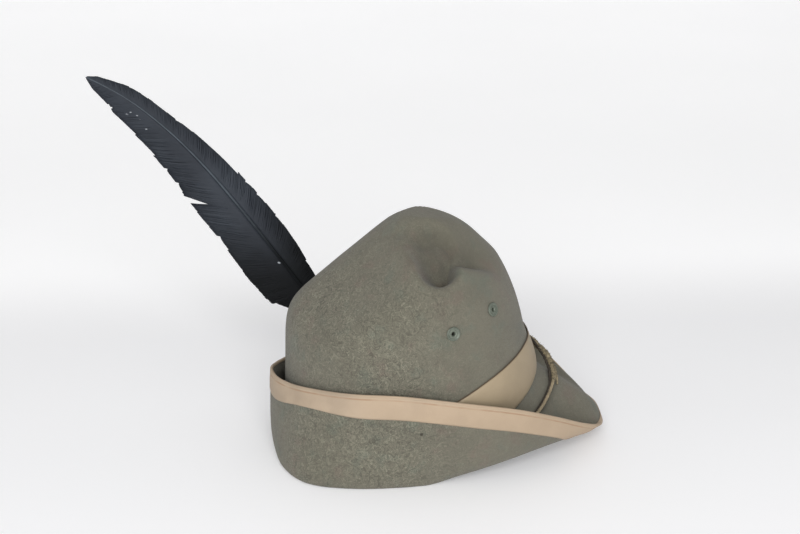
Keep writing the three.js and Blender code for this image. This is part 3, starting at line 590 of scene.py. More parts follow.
def make_piece(name: str, points: Array, quads: Array, tris: Array,
               material: bpy.types.Material, replaces: Sequence[str] = (), uv: Array | None = None,
               soil: Array | None = None) -> bpy.types.Object:
    """Puts a shape into a mesh object that rides on the hat.

    Args:
        name: the piece's name.
        points: places in millimetres from the head oval's middle.
        quads: four point indexes to a face.
        tris: three point indexes to a face.
        material: the finish.
        replaces: names of the solids it stands for.
        uv: optional map place of every point, in metres.
        soil: optional share of painted shade at every point, 0 for none.

    Returns:
        The new object.
    """
    mesh = bpy.data.meshes.new(name)
    mesh.vertices.add(len(points))
    mesh.vertices.foreach_set("co", ((points + HAT_CENTRE) * MM).astype(np.float32).ravel())
    loops = np.concatenate([quads.ravel(), tris.ravel()]).astype(np.int32)
    sizes = np.concatenate([np.full(len(quads), 4), np.full(len(tris), 3)]).astype(np.int32)
    mesh.loops.add(len(loops))
    mesh.loops.foreach_set("vertex_index", loops)
    mesh.polygons.add(len(sizes))
    mesh.polygons.foreach_set("loop_start", np.concatenate([[0], np.cumsum(sizes)[:-1]]).astype(np.int32))
    mesh.polygons.foreach_set("loop_total", sizes)
    mesh.update(calc_edges=True)
    mesh.validate()
    mesh.polygons.foreach_set("use_smooth", np.ones(len(mesh.polygons), dtype=bool))
    if uv is not None:
        layer = mesh.uv_layers.new(name="surface")
        order = np.empty(len(mesh.loops), dtype=np.int32)
        mesh.loops.foreach_get("vertex_index", order)
        layer.data.foreach_set("uv", uv[order].astype(np.float32).ravel())
    if soil is not None:
        mesh.attributes.new("soil", "FLOAT", "POINT").data.foreach_set("value", soil.astype(np.float32))
    mesh.materials.append(material)
    piece = bpy.data.objects.new(name, mesh)
    bpy.context.scene.collection.objects.link(piece)
    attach(piece, "root")
    if replaces:
        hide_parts(*replaces)
    return piece


class Signal:
    """A shader value that ordinary arithmetic works on."""

    def __init__(self, graph: "Graph", socket: bpy.types.NodeSocket) -> None:
        """Keeps the socket that carries the value."""
        self.graph = graph
        self.socket = socket

    def _math(self, operation: str, first: object, second: object = 0.0) -> "Signal":
        """A Math node on two values."""
        return self.graph.node("ShaderNodeMath", {"operation": operation}, {0: first, 1: second})

    def __add__(self, other: object) -> "Signal":
        """Sum."""
        return self._math("ADD", self, other)

    def __radd__(self, other: object) -> "Signal":
        """Sum with the value on the right."""
        return self._math("ADD", other, self)

    def __sub__(self, other: object) -> "Signal":
        """Difference."""
        return self._math("SUBTRACT", self, other)

    def __rsub__(self, other: object) -> "Signal":
        """Difference with the value on the right."""
        return self._math("SUBTRACT", other, self)

    def __mul__(self, other: object) -> "Signal":
        """Product."""
        return self._math("MULTIPLY", self, other)

    def __rmul__(self, other: object) -> "Signal":
        """Product with the value on the right."""
        return self._math("MULTIPLY", other, self)

    def __pow__(self, other: object) -> "Signal":
        """Power."""
        return self._math("POWER", self, other)

    def size(self) -> "Signal":
        """Value without its sign."""
        return self._math("ABSOLUTE", self)

    def between(self, low: float, high: float) -> "Signal":
        """The value's place from low to high as a smooth 0 to 1."""
        ends = {"Value": self, "From Min": low, "From Max": high}
        return self.graph.node("ShaderNodeMapRange", {"interpolation_type": "SMOOTHSTEP"}, ends, "Result")

    def fade(self, low: float, high: float, least: float) -> "Signal":
        """The value's place from low to high as a smooth share from the least one to 1."""
        return self.between(low, high) * (1 - least) + least


class Noise(NamedTuple):
    """Cloudy noise: blots to the metre, number of finer steps, their strength, and how far it is stirred."""

    scale: float
    detail: float = 2.0
    roughness: float = 0.5
    distortion: float = 0.0


class Layer(NamedTuple):
    """Colour laid on as noise goes from a start to a full value, up to a share."""

    noise: Noise
    start: float
    full: float
    share: float
    colour: Colour


class CurlMark(NamedTuple):
    """Colour drawn along the line where noise has one value, from an edge to a core either side of it."""

    value: float
    edge: float
    core: float
    share: float
    colour: Colour


class Graph:
    """Builds one material's node tree round a Principled shader."""

    def __init__(self, name: str) -> None:
        """Starts a material with a Principled shader, its output, and the place on the piece in metres."""
        self.material = bpy.data.materials.new(name)
        self.material.use_nodes = True
        self.tree = self.material.node_tree
        self.shader = self.tree.nodes["Principled BSDF"]
        self.place = self.node("ShaderNodeTexCoord", {}, {}, "Object")
        self.noises: dict[tuple[Noise, Signal | None], Signal] = {}

    def node(self, kind: str, settings: dict[str, object], inputs: dict[object, object],
             output: object = 0) -> Signal:
        """Adds a node.

        Args:
            kind: the node's type.
            settings: attributes that are set before anything is linked.
            inputs: value or signal for each input, by name or place.
            output: the output wanted, by name or place.

        Returns:
            The signal from that output.
        """
        made = self.tree.nodes.new(kind)
        for key, value in settings.items():
            setattr(made, key, value)
        for key, value in inputs.items():
            self.feed(made.inputs[key], value)
        return Signal(self, made.outputs[output])

    def feed(self, socket: bpy.types.NodeSocket, value: object) -> None:
        """Sets a socket to a number or colour, or links a signal to it."""
        if isinstance(value, Signal):
            self.tree.links.new(value.socket, socket)
        elif isinstance(value, tuple) and len(value) == 3 and socket.type == "RGBA":
            socket.default_value = (*value, 1.0)
        else:
            socket.default_value = value

    def set(self, **values: object) -> None:
        """Feeds the Principled shader's inputs, with an underscore for each space in their names."""
        for key, value in values.items():
            self.feed(self.shader.inputs[key.replace("_", " ")], value)

    def parts(self, vector: Signal) -> tuple[Signal, ...]:
        """The three parts of a vector."""
        first = self.node("ShaderNodeSeparateXYZ", {}, {0: vector})
        return tuple(Signal(self, socket) for socket in first.socket.node.outputs)

    def surface(self) -> tuple[Signal, ...]:
        """The piece's own map: length along and way across, in metres."""
        return self.parts(self.node("ShaderNodeUVMap", {"uv_map": "surface"}, {}))[:2]

    def painted(self, name: str) -> Signal:
        """A value painted on the piece's points."""
        return self.node("ShaderNodeAttribute", {"attribute_name": name}, {}, "Fac")

    def noise(self, noise: Noise, vector: Signal | None = None) -> Signal:
        """Noise of about 0.3 to 0.7 over the place or another vector, made once for each kind."""
        key = (noise, vector)
        if key not in self.noises:
            inputs = dict(zip(("Scale", "Detail", "Roughness", "Distortion"), noise))
            inputs["Vector"] = vector or self.place
            self.noises[key] = self.node("ShaderNodeTexNoise", {}, inputs)
        return self.noises[key]

    def mix(self, share: object, first: object, second: object) -> Signal:
        """Colour mixed from the first to the second."""
        return self.node("ShaderNodeMix", {"data_type": "RGBA"}, {0: share, 6: first, 7: second}, 2)

    def lay(self, base: object, layer: Layer, strength: Signal | None = None) -> Signal:
        """Colour with a layer laid on it, its share times the strength where one is given."""
        share = self.noise(layer.noise).between(layer.start, layer.full) * layer.share
        return self.mix(share if strength is None else share * strength, base, layer.colour)

    def distance(self, spot: tuple[float, float, float]) -> Signal:
        """Distance of the place on the piece from a spot, in metres."""
        ends = {0: self.place, 1: spot}
        return self.node("ShaderNodeVectorMath", {"operation": "DISTANCE"}, ends, "Value")

    def bump(self, height: Signal, strength: float, depth: float) -> Signal:
        """Normal bent by a height map, its depth in metres."""
        inputs = {"Height": height, "Strength": strength, "Distance": depth}
        return self.node("ShaderNodeBump", {}, inputs, "Normal")


def linear(red: float, green: float, blue: float) -> Colour:
    """Colour for the shader from the 0 to 255 values that a screen shows."""
    return tuple((((c / 255) + 0.055) / 1.055) ** 2.4 for c in (red, green, blue))


def spot_in_frame(x: float, y: float, z: float) -> tuple[float, float, float]:
    """Place in the frame in metres from millimetres at the head oval's middle."""
    return tuple(float(v) for v in (np.array([x, y, z]) + HAT_CENTRE) * MM)


@dataclass(frozen=True)
class WoolFelt:
    """Grey-green wool felt: faint clouds, curled marks, short dark fibres and small pale flecks.

    The marks show most behind the middle of the hat and low down, and are weak at the top and in
    front. A fade is where they are weakest, where they are full, both in metres, and their least
    share. Where painted shade is given the felt is darker: painted shade in the side hollows and a
    painted shadow line beside the cord, both made patchy by noise. One small hole is painted on as a
    dark dot of painted shade. Here and in the other finishes the relief is the strength of the bump
    and its depth in metres.
    """

    pinhole: tuple[float, float, float]
    ground: Colour = linear(106, 103, 91)
    green: Colour = linear(100, 102, 91)
    brown: Colour = linear(109, 100, 90)
    dark: Colour = linear(72, 71, 62)
    fleck: Colour = linear(141, 140, 123)
    # Colour of the painted shade in the side hollows, in the line beside the cord and in the small hole
    painted_shade_colour: Colour = linear(52, 49, 42)
    clouds: Noise = Noise(26, 3, 0.55)
    tint: Noise = Noise(48, 3, 0.6)
    curls: Noise = Noise(140, 1, 0.5, 1.8)
    patches: Noise = Noise(75)
    heather: Noise = Noise(360, 4, 0.7, 2.2)
    fibres: Noise = Noise(900, 3, 0.7, 3.0)
    specks: Noise = Noise(520)
    wear: Noise = Noise(14)
    # Noise that makes the painted shade patchy
    painted_shade_patches: Noise = Noise(130, 3, 0.6)
    cloud_layers: tuple[Layer, ...] = (
        Layer(tint, 0.46, 0.3, 0.9, green),
        Layer(tint, 0.54, 0.7, 0.8, brown),
        Layer(clouds, 0.56, 0.34, 0.16, dark),
    )
    heather_layers: tuple[Layer, ...] = (
        Layer(heather, 0.5, 0.36, 0.55, dark),
        Layer(heather, 0.52, 0.68, 0.6, fleck),
    )
    fibre_layers: tuple[Layer, ...] = (
        Layer(fibres, 0.46, 0.32, 0.6, dark),
        Layer(specks, 0.68, 0.74, 0.6, fleck),
    )
    dark_curl: CurlMark = CurlMark(0.46, 0.05, 0.012, 0.6, dark)
    pale_curl: CurlMark = CurlMark(0.55, 0.045, 0.01, 0.42, fleck)
    curl_patchy: float = 0.6
    patch_edge: tuple[float, float] = (0.4, 0.62)
    wear_fade: tuple[float, float, float] = (0.3, 0.6, 0.6)
    painted_shade_patches_fade: tuple[float, float, float] = (0.3, 0.6, 0.7)
    fade_ahead: tuple[float, float, float] = (0.100, 0.02, 0.25)
    fade_up: tuple[float, float, float] = (0.175, 0.13, 0.4)
    fade_behind: tuple[float, float, float] = (-0.06, -0.03, 0.6)
    # Size of the dark dot of painted shade that stands for the small hole, and its share
    pinhole_edge: tuple[float, float] = (0.0019, 0.0007)
    pinhole_share: float = 0.85
    heather_height: float = 0.8
    fibre_height: float = 0.6
    curl_height: float = 0.8
    relief: tuple[float, float] = (0.5, 0.0006)
    roughness: float = 0.95
    gloss: float = 0.12
    sheen: float = 0.12
    sheen_roughness: float = 0.6

    def make(self) -> bpy.types.Material:
        """The finish as a material."""
        g = Graph("wool_felt")
        x, _, z = g.parts(g.place)
        rough = g.noise(self.wear).fade(*self.wear_fade) * x.fade(*self.fade_ahead) * z.fade(*self.fade_up)
        rough = rough * x.fade(*self.fade_behind)
        base = self.ground
        for layer in self.cloud_layers:
            base = g.lay(base, layer)
        for layer in self.heather_layers:
            base = g.lay(base, layer, rough)
        patchy = g.noise(self.patches).between(*self.patch_edge) * self.curl_patchy
        curls = g.noise(self.curls)
        dark_strength, pale_strength = patchy + (1 - self.curl_patchy), 1 - patchy
        for mark, strength in ((self.dark_curl, dark_strength), (self.pale_curl, pale_strength)):
            line = (curls - mark.value).size().between(mark.edge, mark.core)
            base = g.mix(line * strength * mark.share * rough, base, mark.colour)
        for layer in self.fibre_layers:
            base = g.lay(base, layer, rough)
        # Painted shade: the share painted on the points, made patchy by noise, darkens the side hollows and
        # a line beside the cord
        soil = g.painted("soil") * g.noise(self.painted_shade_patches).fade(*self.painted_shade_patches_fade)
        base = g.mix(soil, base, self.painted_shade_colour)
        # A dark dot of painted shade stands for the small hole in the brim
        hole = g.distance(self.pinhole).between(*self.pinhole_edge) * self.pinhole_share
        base = g.mix(hole, base, self.painted_shade_colour)
        nap = g.noise(self.heather) * self.heather_height + g.noise(self.fibres) * self.fibre_height
        nap = nap + curls * self.curl_height
        g.set(Base_Color=base, Roughness=self.roughness, Normal=g.bump(nap, *self.relief),
              Specular_IOR_Level=self.gloss, Sheen_Weight=self.sheen, Sheen_Roughness=self.sheen_roughness)
        return g.material


class TapeTone(Enum):
    """Colour of a leather strip on the hat."""

    BAND = (158, 144, 121)
    BINDING = (171, 153, 132)


@dataclass(frozen=True)
class TanLeather:
    """Smooth tan leather with fine grain and soft blotches, and a pressed seam where it has one.

    The seam is its way across the piece's map in metres. The other colours are shares of the tone's
    red, green and blue.
    """

    tone: TapeTone
    seam: float = 0.0
    shade: Colour = (0.86, 0.86, 0.86)
    warm: Colour = (1.0, 0.975, 0.94)
    light: Colour = (1.06, 1.06, 1.06)
    stitch: Colour = (0.86, 0.74, 0.64)
    blotches: Noise = Noise(38, 3, 0.55)
    drift: Noise = Noise(9)
    grain: Noise = Noise(1300, 3, 0.6)
    pores: Noise = Noise(240, 3)
    seam_wear: Noise = Noise(60, 2, 0.6)
    seam_edge: tuple[float, float] = (0.0002, 0.0009)
    seam_fade: tuple[float, float, float] = (0.3, 0.6, 0.3)
    seam_share: float = 0.6
    seam_depth: float = 1.2
    grain_height: float = 0.5
    relief: tuple[float, float] = (0.35, 0.0004)
    roughness: float = 0.62
    gloss: float = 0.35

    def toned(self, shares: Colour) -> Colour:
        """The tone with its parts multiplied by shares, as a colour for the shader."""
        return linear(*(part * share for part, share in zip(self.tone.value, shares)))

    def make(self) -> bpy.types.Material:
        """The finish as a material."""
        g = Graph(f"leather_{self.tone.name.lower()}")
        colour = linear(*self.tone.value)
        for layer in (Layer(self.blotches, 0.62, 0.36, 0.45, self.toned(self.shade)),
                      Layer(self.drift, 0.36, 0.62, 0.5, self.toned(self.warm)),
                      Layer(self.grain, 0.55, 0.75, 0.25, self.toned(self.light))):
            colour = g.lay(colour, layer)
        height = g.noise(self.grain) * self.grain_height + g.noise(self.pores)
        if self.seam:
            _, across = g.surface()
            groove = 1 - (across - self.seam).size().between(*self.seam_edge)
            groove = groove * g.noise(self.seam_wear).fade(*self.seam_fade)
            colour = g.mix(groove * self.seam_share, colour, self.toned(self.stitch))
            height = height - groove * self.seam_depth
        g.set(Base_Color=colour, Roughness=self.roughness, Normal=g.bump(height, *self.relief),
              Specular_IOR_Level=self.gloss)
        return g.material


@dataclass(frozen=True)
class PlainFinish:
    """One colour with a cloudy shade and a fine grain, for cord, yarn, thread and paint."""

    name: str
    colour: Colour
    shade: float = 0.7
    roughness: float = 0.8
    grain: float = 1500.0
    bump_depth: float = 0.0003
    metal: float = 0.0
    clouds: float = 150.0
    cloud_edge: tuple[float, float] = (0.3, 0.7)

    def make(self) -> bpy.types.Material:
        """The finish as a material."""
        g = Graph(self.name)
        dark = tuple(self.shade * c for c in self.colour)
        cloud, grain = (g.noise(Noise(scale, 3, 0.6)) for scale in (self.clouds, self.grain))
        colour = g.mix(cloud.between(*self.cloud_edge), dark, self.colour)
        g.set(Base_Color=colour, Roughness=self.roughness, Metallic=self.metal,
              Normal=g.bump(grain, 0.5, self.bump_depth))
        return g.material


@dataclass(frozen=True)
class FeatherVane:
    """Dark blue-grey barbs with paler streaks along them, pale specks, and a nearly black foot.

    Streaks are finer along the quill than out along the barbs, and the foot darkens between two
    lengths from the tip, in metres. Each speck is its barb's root, its way out, and its size.
    """

    specks: tuple[tuple[float, float, float], ...]
    dark: Colour = linear(30, 34, 41)
    mid: Colour = linear(41, 46, 54)
    pale: Colour = linear(60, 66, 74)
    base: Colour = linear(11, 13, 15)
    speck: Colour = linear(158, 163, 168)
    streaks_along: float = 260.0
    streaks_out: float = 14.0
    streak: Noise = Noise(1.0, 4, 0.65)
    fine: Noise = Noise(5.5, 2, 0.6)
    sheen: Layer = Layer(Noise(22), 0.45, 0.7, 0.3, pale)
    streak_edge: tuple[float, float] = (0.25, 0.8)
    streak_share: float = 0.55
    streak_least: float = 0.22
    fine_edge: tuple[float, float] = (0.55, 0.8)
    fine_share: float = 0.25
    foot: tuple[float, float] = (0.176, 0.24)
    foot_share: float = 0.95
    speck_core: float = 0.4
    relief: tuple[float, float] = (0.15, 0.0003)
    roughness: float = 0.55
    foot_rougher: float = 0.3
    gloss: float = 0.25

    def make(self) -> bpy.types.Material:
        """The finish as a material: the map runs along the quill from the tip and out along the barbs."""
        g = Graph("feather_vane")
        along, across = g.surface()
        scaled = {0: along * self.streaks_along, 1: across * self.streaks_out, 2: 0.0}
        rows = g.node("ShaderNodeCombineXYZ", {}, scaled)
        fine = g.noise(self.fine, rows)
        streak = g.noise(self.streak, rows).between(*self.streak_edge)
        colour = g.mix(streak * self.streak_share + self.streak_least, self.dark, self.mid)
        colour = g.mix(fine.between(*self.fine_edge) * self.fine_share, colour, self.pale)
        colour = g.lay(colour, self.sheen)
        rear = along.between(*self.foot)
        colour = g.mix(rear * self.foot_share, colour, self.base)
        for root, out, size in self.specks:
            gap = ((along - root * MM) ** 2 + (across - out * MM) ** 2) ** 0.5
            colour = g.mix(gap.between(size * MM, self.speck_core * size * MM), colour, self.speck)
        g.set(Base_Color=colour, Roughness=rear * self.foot_rougher + self.roughness,
              Normal=g.bump(fine, *self.relief), Specular_IOR_Level=self.gloss)
        return g.material


@dataclass(frozen=True)
class QuillHorn:
    """Grey horn of the quill, pale near the tip and as dark as the vane near its foot."""

    pale: Colour = linear(78, 85, 92)
    foot: Colour = linear(15, 17, 19)
    clouds: Layer = Layer(Noise(150, 3, 0.6), 0.3, 0.7, 0.3, foot)
    grain: Noise = Noise(3000, 3, 0.6)
    darkens: tuple[float, float] = (0.13, 0.222)
    relief: tuple[float, float] = (0.5, 0.0001)
    roughness: float = 0.5
    foot_rougher: float = 0.4
    gloss: float = 0.15

    def make(self) -> bpy.types.Material:
        """The finish as a material: the map runs along the quill from the tip."""
        g = Graph("quill_horn")
        along, _ = g.surface()
        late = along.between(*self.darkens)
        colour = g.mix(late, g.lay(self.pale, self.clouds), self.foot)
        g.set(Base_Color=colour, Roughness=late * self.foot_rougher + self.roughness,
              Normal=g.bump(g.noise(self.grain), *self.relief), Specular_IOR_Level=self.gloss)
        return g.material


@dataclass
class FeltShell:
    """The felt as one closed shell: outer face, inner face, rim, and the walls of the eyelet holes."""

    sheet: FeltSheet
    crown: CrownForm
    rim_half: float = 0.6
    rim_taper: float = 9.0
    hole_radius: float = 3.3
    uneven: float = 0.5
    uneven_wave: float = 42.0
    uneven_seed: int = 3
    uneven_from: float = 20.0
    uneven_ramp: float = 12.0
    # Painted shade in the side hollows: its share, how soon it is full with the dent's depth, and the
    # heights over which it sets in
    hollow_painted_shade: float = 0.35
    hollow_soon: float = 1.5
    hollow_heights: tuple[float, float] = (120.0, 140.0)
    # Painted shadow line beside the cord over the peak: the region it may lie in, its share and its width
    peak_from: float = 60.0
    peak_half: float = 75.0
    cord_painted_shade: float = 0.85
    cord_line: float = 1.8

    def half(self) -> Array:
        """Half thickness along the columns: full, and thinner towards the rim."""
        to_end = self.sheet.end[:, None] - self.sheet.run
        return self.rim_half + (FELT / 2 - self.rim_half) * ease(to_end / self.rim_taper)

    def _painted_shade(self, points: Array, cord_path: Array) -> Array:
        """Share of painted shade: most in the side hollows, and a thin painted shadow line behind the cord
        over the peak.
        """
        deep = self.crown.dent(unit(points - EYE)) / self.crown.pocket_depth
        share = self.hollow_painted_shade * ease(deep * self.hollow_soon)
        share = share * share_between(points[:, 2], self.hollow_heights)
        # Painted shadow: a dark line on the felt along the cord over the peak
        near = (np.abs(points[:, 1]) < self.peak_half) & (points[:, 0] > self.peak_from)
        ahead = cord_path[cord_path[:, 0] > self.peak_from]
        gap = np.min(np.linalg.norm(points[near][:, None, :2] - ahead[None, ::4, :2], axis=2), axis=1)
        share[near] = np.maximum(share[near], self.cord_painted_shade * np.exp(-((gap / self.cord_line) ** 2)))
        return share

    def build(self, eyelets: "Eyelets", cord_path: Array) -> bpy.types.Object:
        """Makes the felt piece with the eyelet holes cut through both faces.

        Args:
            eyelets: the eyelets whose holes are cut.
            cord_path: middle line of the cord in millimetres, shifted to where its painted shadow line
                falls.

        Returns:
            The felt piece.
        """
        mid = self.sheet.points.transpose(1, 0, 2)
        normal = self.sheet.normals.transpose(1, 0, 2)
        half = self.half().T[..., None]
        wave = ripple(mid, self.uneven_wave, self.uneven_seed)[..., None] * self.uneven
        rows, columns = mid.shape[:2]
        from_rim = self.sheet.end[:, None] - self.sheet.run
        clear = ease((from_rim - self.uneven_from) / self.uneven_ramp).T[..., None]
        outer = lay(mid + normal * (half + wave * clear))
        inner = lay(mid - normal * half)
        count = rows * columns
        points = np.concatenate([outer.reshape(-1, 3), inner.reshape(-1, 3)])
        faces = grid_quads(rows, columns)
        centres = points[faces].mean(axis=1)
        cut = np.zeros(len(faces), dtype=bool)
        for place, _ in eyelets.places():
            cut |= np.linalg.norm(centres - place, axis=1) < self.hole_radius
        kept = faces[~cut]
        walls = self._walls(faces, cut, rows, columns, count)
        last = (rows - 1) * columns + np.arange(columns)
        nxt = np.roll(last, -1)
        rim = np.stack([last, nxt, nxt + count, last + count], axis=1)
        quads = np.concatenate([kept, kept[:, ::-1] + count, rim, walls])
        tops = np.stack([points[:columns].mean(axis=0), points[count:count + columns].mean(axis=0)])
        ring = np.arange(columns)
        tris = np.concatenate([fan(2 * count, ring, flip=True), fan(2 * count + 1, ring + count)])
        points = np.concatenate([points, tops])
        # Painted shade goes on the outer face's points only
        soil = np.zeros(len(points))
        soil[:count] = self._painted_shade(mid.reshape(-1, 3), cord_path)
        felt = WoolFelt(pinhole=spot_in_frame(*PINHOLE)).make()
        return make_piece("felt_shell", points, quads, tris, felt, ["felt_body"], soil=soil)

    @staticmethod
    def _walls(faces: Array, cut: Array, rows: int, columns: int, count: int) -> Array:
        """Quads from the outer to the inner face along every edge between a kept face and a cut one."""
        grid = cut.reshape(rows - 1, columns)
        above = np.concatenate([np.zeros((1, columns), bool), grid[:-1]])
        below = np.concatenate([grid[1:], np.zeros((1, columns), bool)])
        beside = (np.roll(grid, -1, 1), np.roll(grid, 1, 1))
        edges = []
        for neighbour, (a, b) in zip((above, beside[0], below, beside[1]), ((0, 1), (1, 2), (2, 3), (3, 0))):
            meets = (~grid & neighbour).ravel()
            edges.append(faces[meets][:, [a, b]])
        start, end = np.concatenate(edges).T
        return np.stack([end, start, start + count, end + count], axis=1)


@dataclass
class HatBand:
    """Leather band round the crown, with a thin dark tube along its upper edge as painted shade of the gap
    there.
    """

    sheet: FeltSheet
    thick: float = 1.0
    gap: float = 0.35
    bevel: float = 0.5
    bevel_share: float = 0.6
    rows: int = 16
    sag: float = 0.25
    sag_wave: float = 60.0
    sag_seed: int = 11
    # Thin dark tube of painted shade along the band's upper edge: its radius, its seat in the band's
    # thickness, and its sides
    gap_shade: float = 0.45
    gap_shade_seat: float = 0.55
    gap_shade_sides: int = 8

    def edges(self) -> tuple[Array, Array]:
        """Running lengths of the lower and upper edge on every column."""
        heights = ClosedCurve.round_band(BAND_SECTIONS)(self.sheet.turns)
        return self.sheet.length_at_height(heights[:, 0]), self.sheet.length_at_height(heights[:, 1])

    def build(self) -> None:
        """Makes the band and the dark tube of painted shade along its upper edge."""
        low, high = self.edges()
        width = (low - high)[:, None]
        shares = np.linspace(0, 1, self.rows)
        down = width * shares
        p, n = self.sheet.at(high[:, None] + down)
        to_edge = np.minimum(shares, 1 - shares)[None, :] * width
        round_off = self.thick * (1 - ease(to_edge / self.bevel)) * self.bevel_share
        near = FELT / 2 + self.gap
        sag = ripple(p, self.sag_wave, self.sag_seed) * self.sag
        outer = p + n * (near + self.thick - round_off + sag)[..., None]
        inner = p + n * near
        ring = np.concatenate([outer, inner[:, ::-1]], axis=1).transpose(1, 0, 2)
        points = ring.reshape(-1, 3)
        quads, _ = outward(points, grid_quads(*ring.shape[:2], close_rows=True), NO_TRIS)
        uv = map_places(running(outer[:, 0]), np.concatenate([down, down[:, ::-1]], axis=1).T)
        leather = TanLeather(TapeTone.BAND).make()
        make_piece("band_leather", points, quads, NO_TRIS, leather, ["hat_band"], uv)
        # Painted shade: a thin dark tube where the gap between band and felt lies in shade
        path = p[:, 0] + n[:, 0] * (near + self.thick * self.gap_shade_seat)
        dark = PlainFinish("band_gap_shade_paint", linear(92, 76, 58), grain=2500.0).make()
        tube(path, np.full(len(path), self.gap_shade), n[:, 0], self.gap_shade_sides, "band_gap_shade", dark)


def tube(path: Array, radius: Array, normal: Array, sides: int, name: str,
         material: bpy.types.Material, replaces: Sequence[str] = (), closed: bool = True,
         swell: Array | None = None) -> bpy.types.Object:
    """Round piece along a path: at every point a circle in the plane across the path.

    Args:
        path: points of the middle line in millimetres.
        radius: radius at every point.
        normal: a direction across the path at every point.
        sides: points round the circle.
        name: the piece's name.
        material: the finish.
        replaces: names of the solids it stands for.
        closed: whether the path joins its own start.
        swell: optional share added to the radius, with shape points, sides.

    Returns:
        The new object.
    """
    ahead = unit(np.roll(path, -1, 0) - np.roll(path, 1, 0)) if closed else unit(np.gradient(path, axis=0))
    u = unit(np.cross(ahead, normal))
    w = np.cross(u, ahead)
    angle = circle(sides)
    r = radius[:, None] * (1 + (np.zeros((1, sides)) if swell is None else swell))
    out, up = (r * np.cos(angle))[..., None], (r * np.sin(angle))[..., None]
    points = (path[:, None] + (u[:, None] * out + w[:, None] * up)).reshape(-1, 3)
    uv = map_places(running(path)[:, None], angle[None, :] * radius.mean())
    quads = grid_quads(len(path), sides, close_rows=closed)
    tris = NO_TRIS
    if not closed:
        first, last = np.arange(sides), len(points) - sides + np.arange(sides)
        tris = np.concatenate([fan(len(points), first, flip=True), fan(len(points) + 1, last)])
        points = np.concatenate([points, path[:1], path[-1:]])
        uv = np.concatenate([uv, uv[:1], uv[-1:]])
    quads, tris = outward(points, quads, tris)
    return make_piece(name, points, quads, tris, material, replaces, uv)


@dataclass
class BrimBinding:
    """Leather binding folded over the rim: a wide leg outside, a rolled edge and a narrow leg inside.

    The outer leg narrows over the rear turns and widens again over the back ones, in degrees from
    the front on both sides. The inner leg is widest at the tip of the peak.
    """

    sheet: FeltSheet
    shell: FeltShell
    outer: float = 18.0
    rear_less: float = 4.0
    rear_turns: tuple[float, float] = (98.0, 135.0)
    back_turns: tuple[float, float] = (140.0, 165.0)
    back_regain: float = 0.8
    inner: float = 0.8
    tip_inner: float = 3.6
    tip_turn: float = 22.0
    gap: float = 0.1
    thick: float = 0.5
    edge_long: float = 0.6
    edge_thick: float = 0.4
    leg_rows: int = 14
    inner_rows: int = 4
    roll_rows: int = 9
    roll_map: float = 2.0

    def build(self) -> None:
        """Makes the binding."""
        turns = np.minimum(self.sheet.turns, 360 - self.sheet.turns)
        reach = self.inner + (self.tip_inner - self.inner) * ease(1 - turns / self.tip_turn)
        rear = share_between(turns, self.rear_turns)
        rear = rear - self.back_regain * share_between(turns, self.back_turns)
        outer = (self.outer - self.rear_less * rear)[:, None]
        back_out = outer * np.linspace(1.0, 0.0, self.leg_rows)[None, :]
        back_in = np.linspace(0.0, 1.0, self.inner_rows)[None, 1:] * reach[:, None]
        near_out, near_in = self._near(back_out), self._near(back_in)
        edge = ease((outer - back_out) / self.edge_long) * (1 - self.edge_thick) + self.edge_thick
        rim = self.shell.rim_half + self.gap
        legs = [self._leg(back_out, -near_out - self.thick * edge), self._roll(rim + self.thick),
                self._leg(back_in, near_in + self.thick), self._leg(back_in, near_in)[:, ::-1],
                self._roll(rim)[:, ::-1], self._leg(back_out, -near_out)[:, ::-1]]
        ring = np.concatenate(legs, axis=1).transpose(1, 0, 2)
        points = lay(ring.reshape(-1, 3))
        quads, _ = outward(points, grid_quads(*ring.shape[:2], close_rows=True), NO_TRIS)
        roll = np.broadcast_to(np.linspace(0, -self.roll_map, self.roll_rows), (len(turns), self.roll_rows))
        way = np.concatenate([back_out, roll, roll[:, -1:] - back_in], axis=1)
        uv = map_places(running(ring[0]), np.concatenate([way, way[:, ::-1]], axis=1).T)
        leather = TanLeather(TapeTone.BINDING, seam=0.0022).make()
        make_piece("binding_leather", points, quads, NO_TRIS, leather, ["brim_binding"], uv)

    def _near(self, back: Array) -> Array:
        """Height of the binding's inner face over the felt's middle, at distances back from the rim."""
        heights = [self.shell.rim_half, FELT / 2]
        return np.interp(back, [0, self.shell.rim_taper], heights) + self.gap

    def _leg(self, back: Array, height: Array) -> Array:
        """Points at distances back from the rim and heights over the felt's middle."""
        p, n = self.sheet.at(self.sheet.end[:, None] - back)
        return p + n * height[..., None]

    def _roll(self, radius: float) -> Array:
        """Points of the half circle round the rim, from the outer side over to the inner one."""
        p, n = self.sheet.at(np.stack([self.sheet.end, self.sheet.end - 1.0], axis=1))
        out = unit(p[:, 0] - p[:, 1])
        angle = np.linspace(-math.pi / 2, math.pi / 2, self.roll_rows)
        return (p[:, :1] + n[:, :1] * (radius * np.sin(angle))[None, :, None]
                + out[:, None] * (radius * np.cos(angle))[None, :, None])


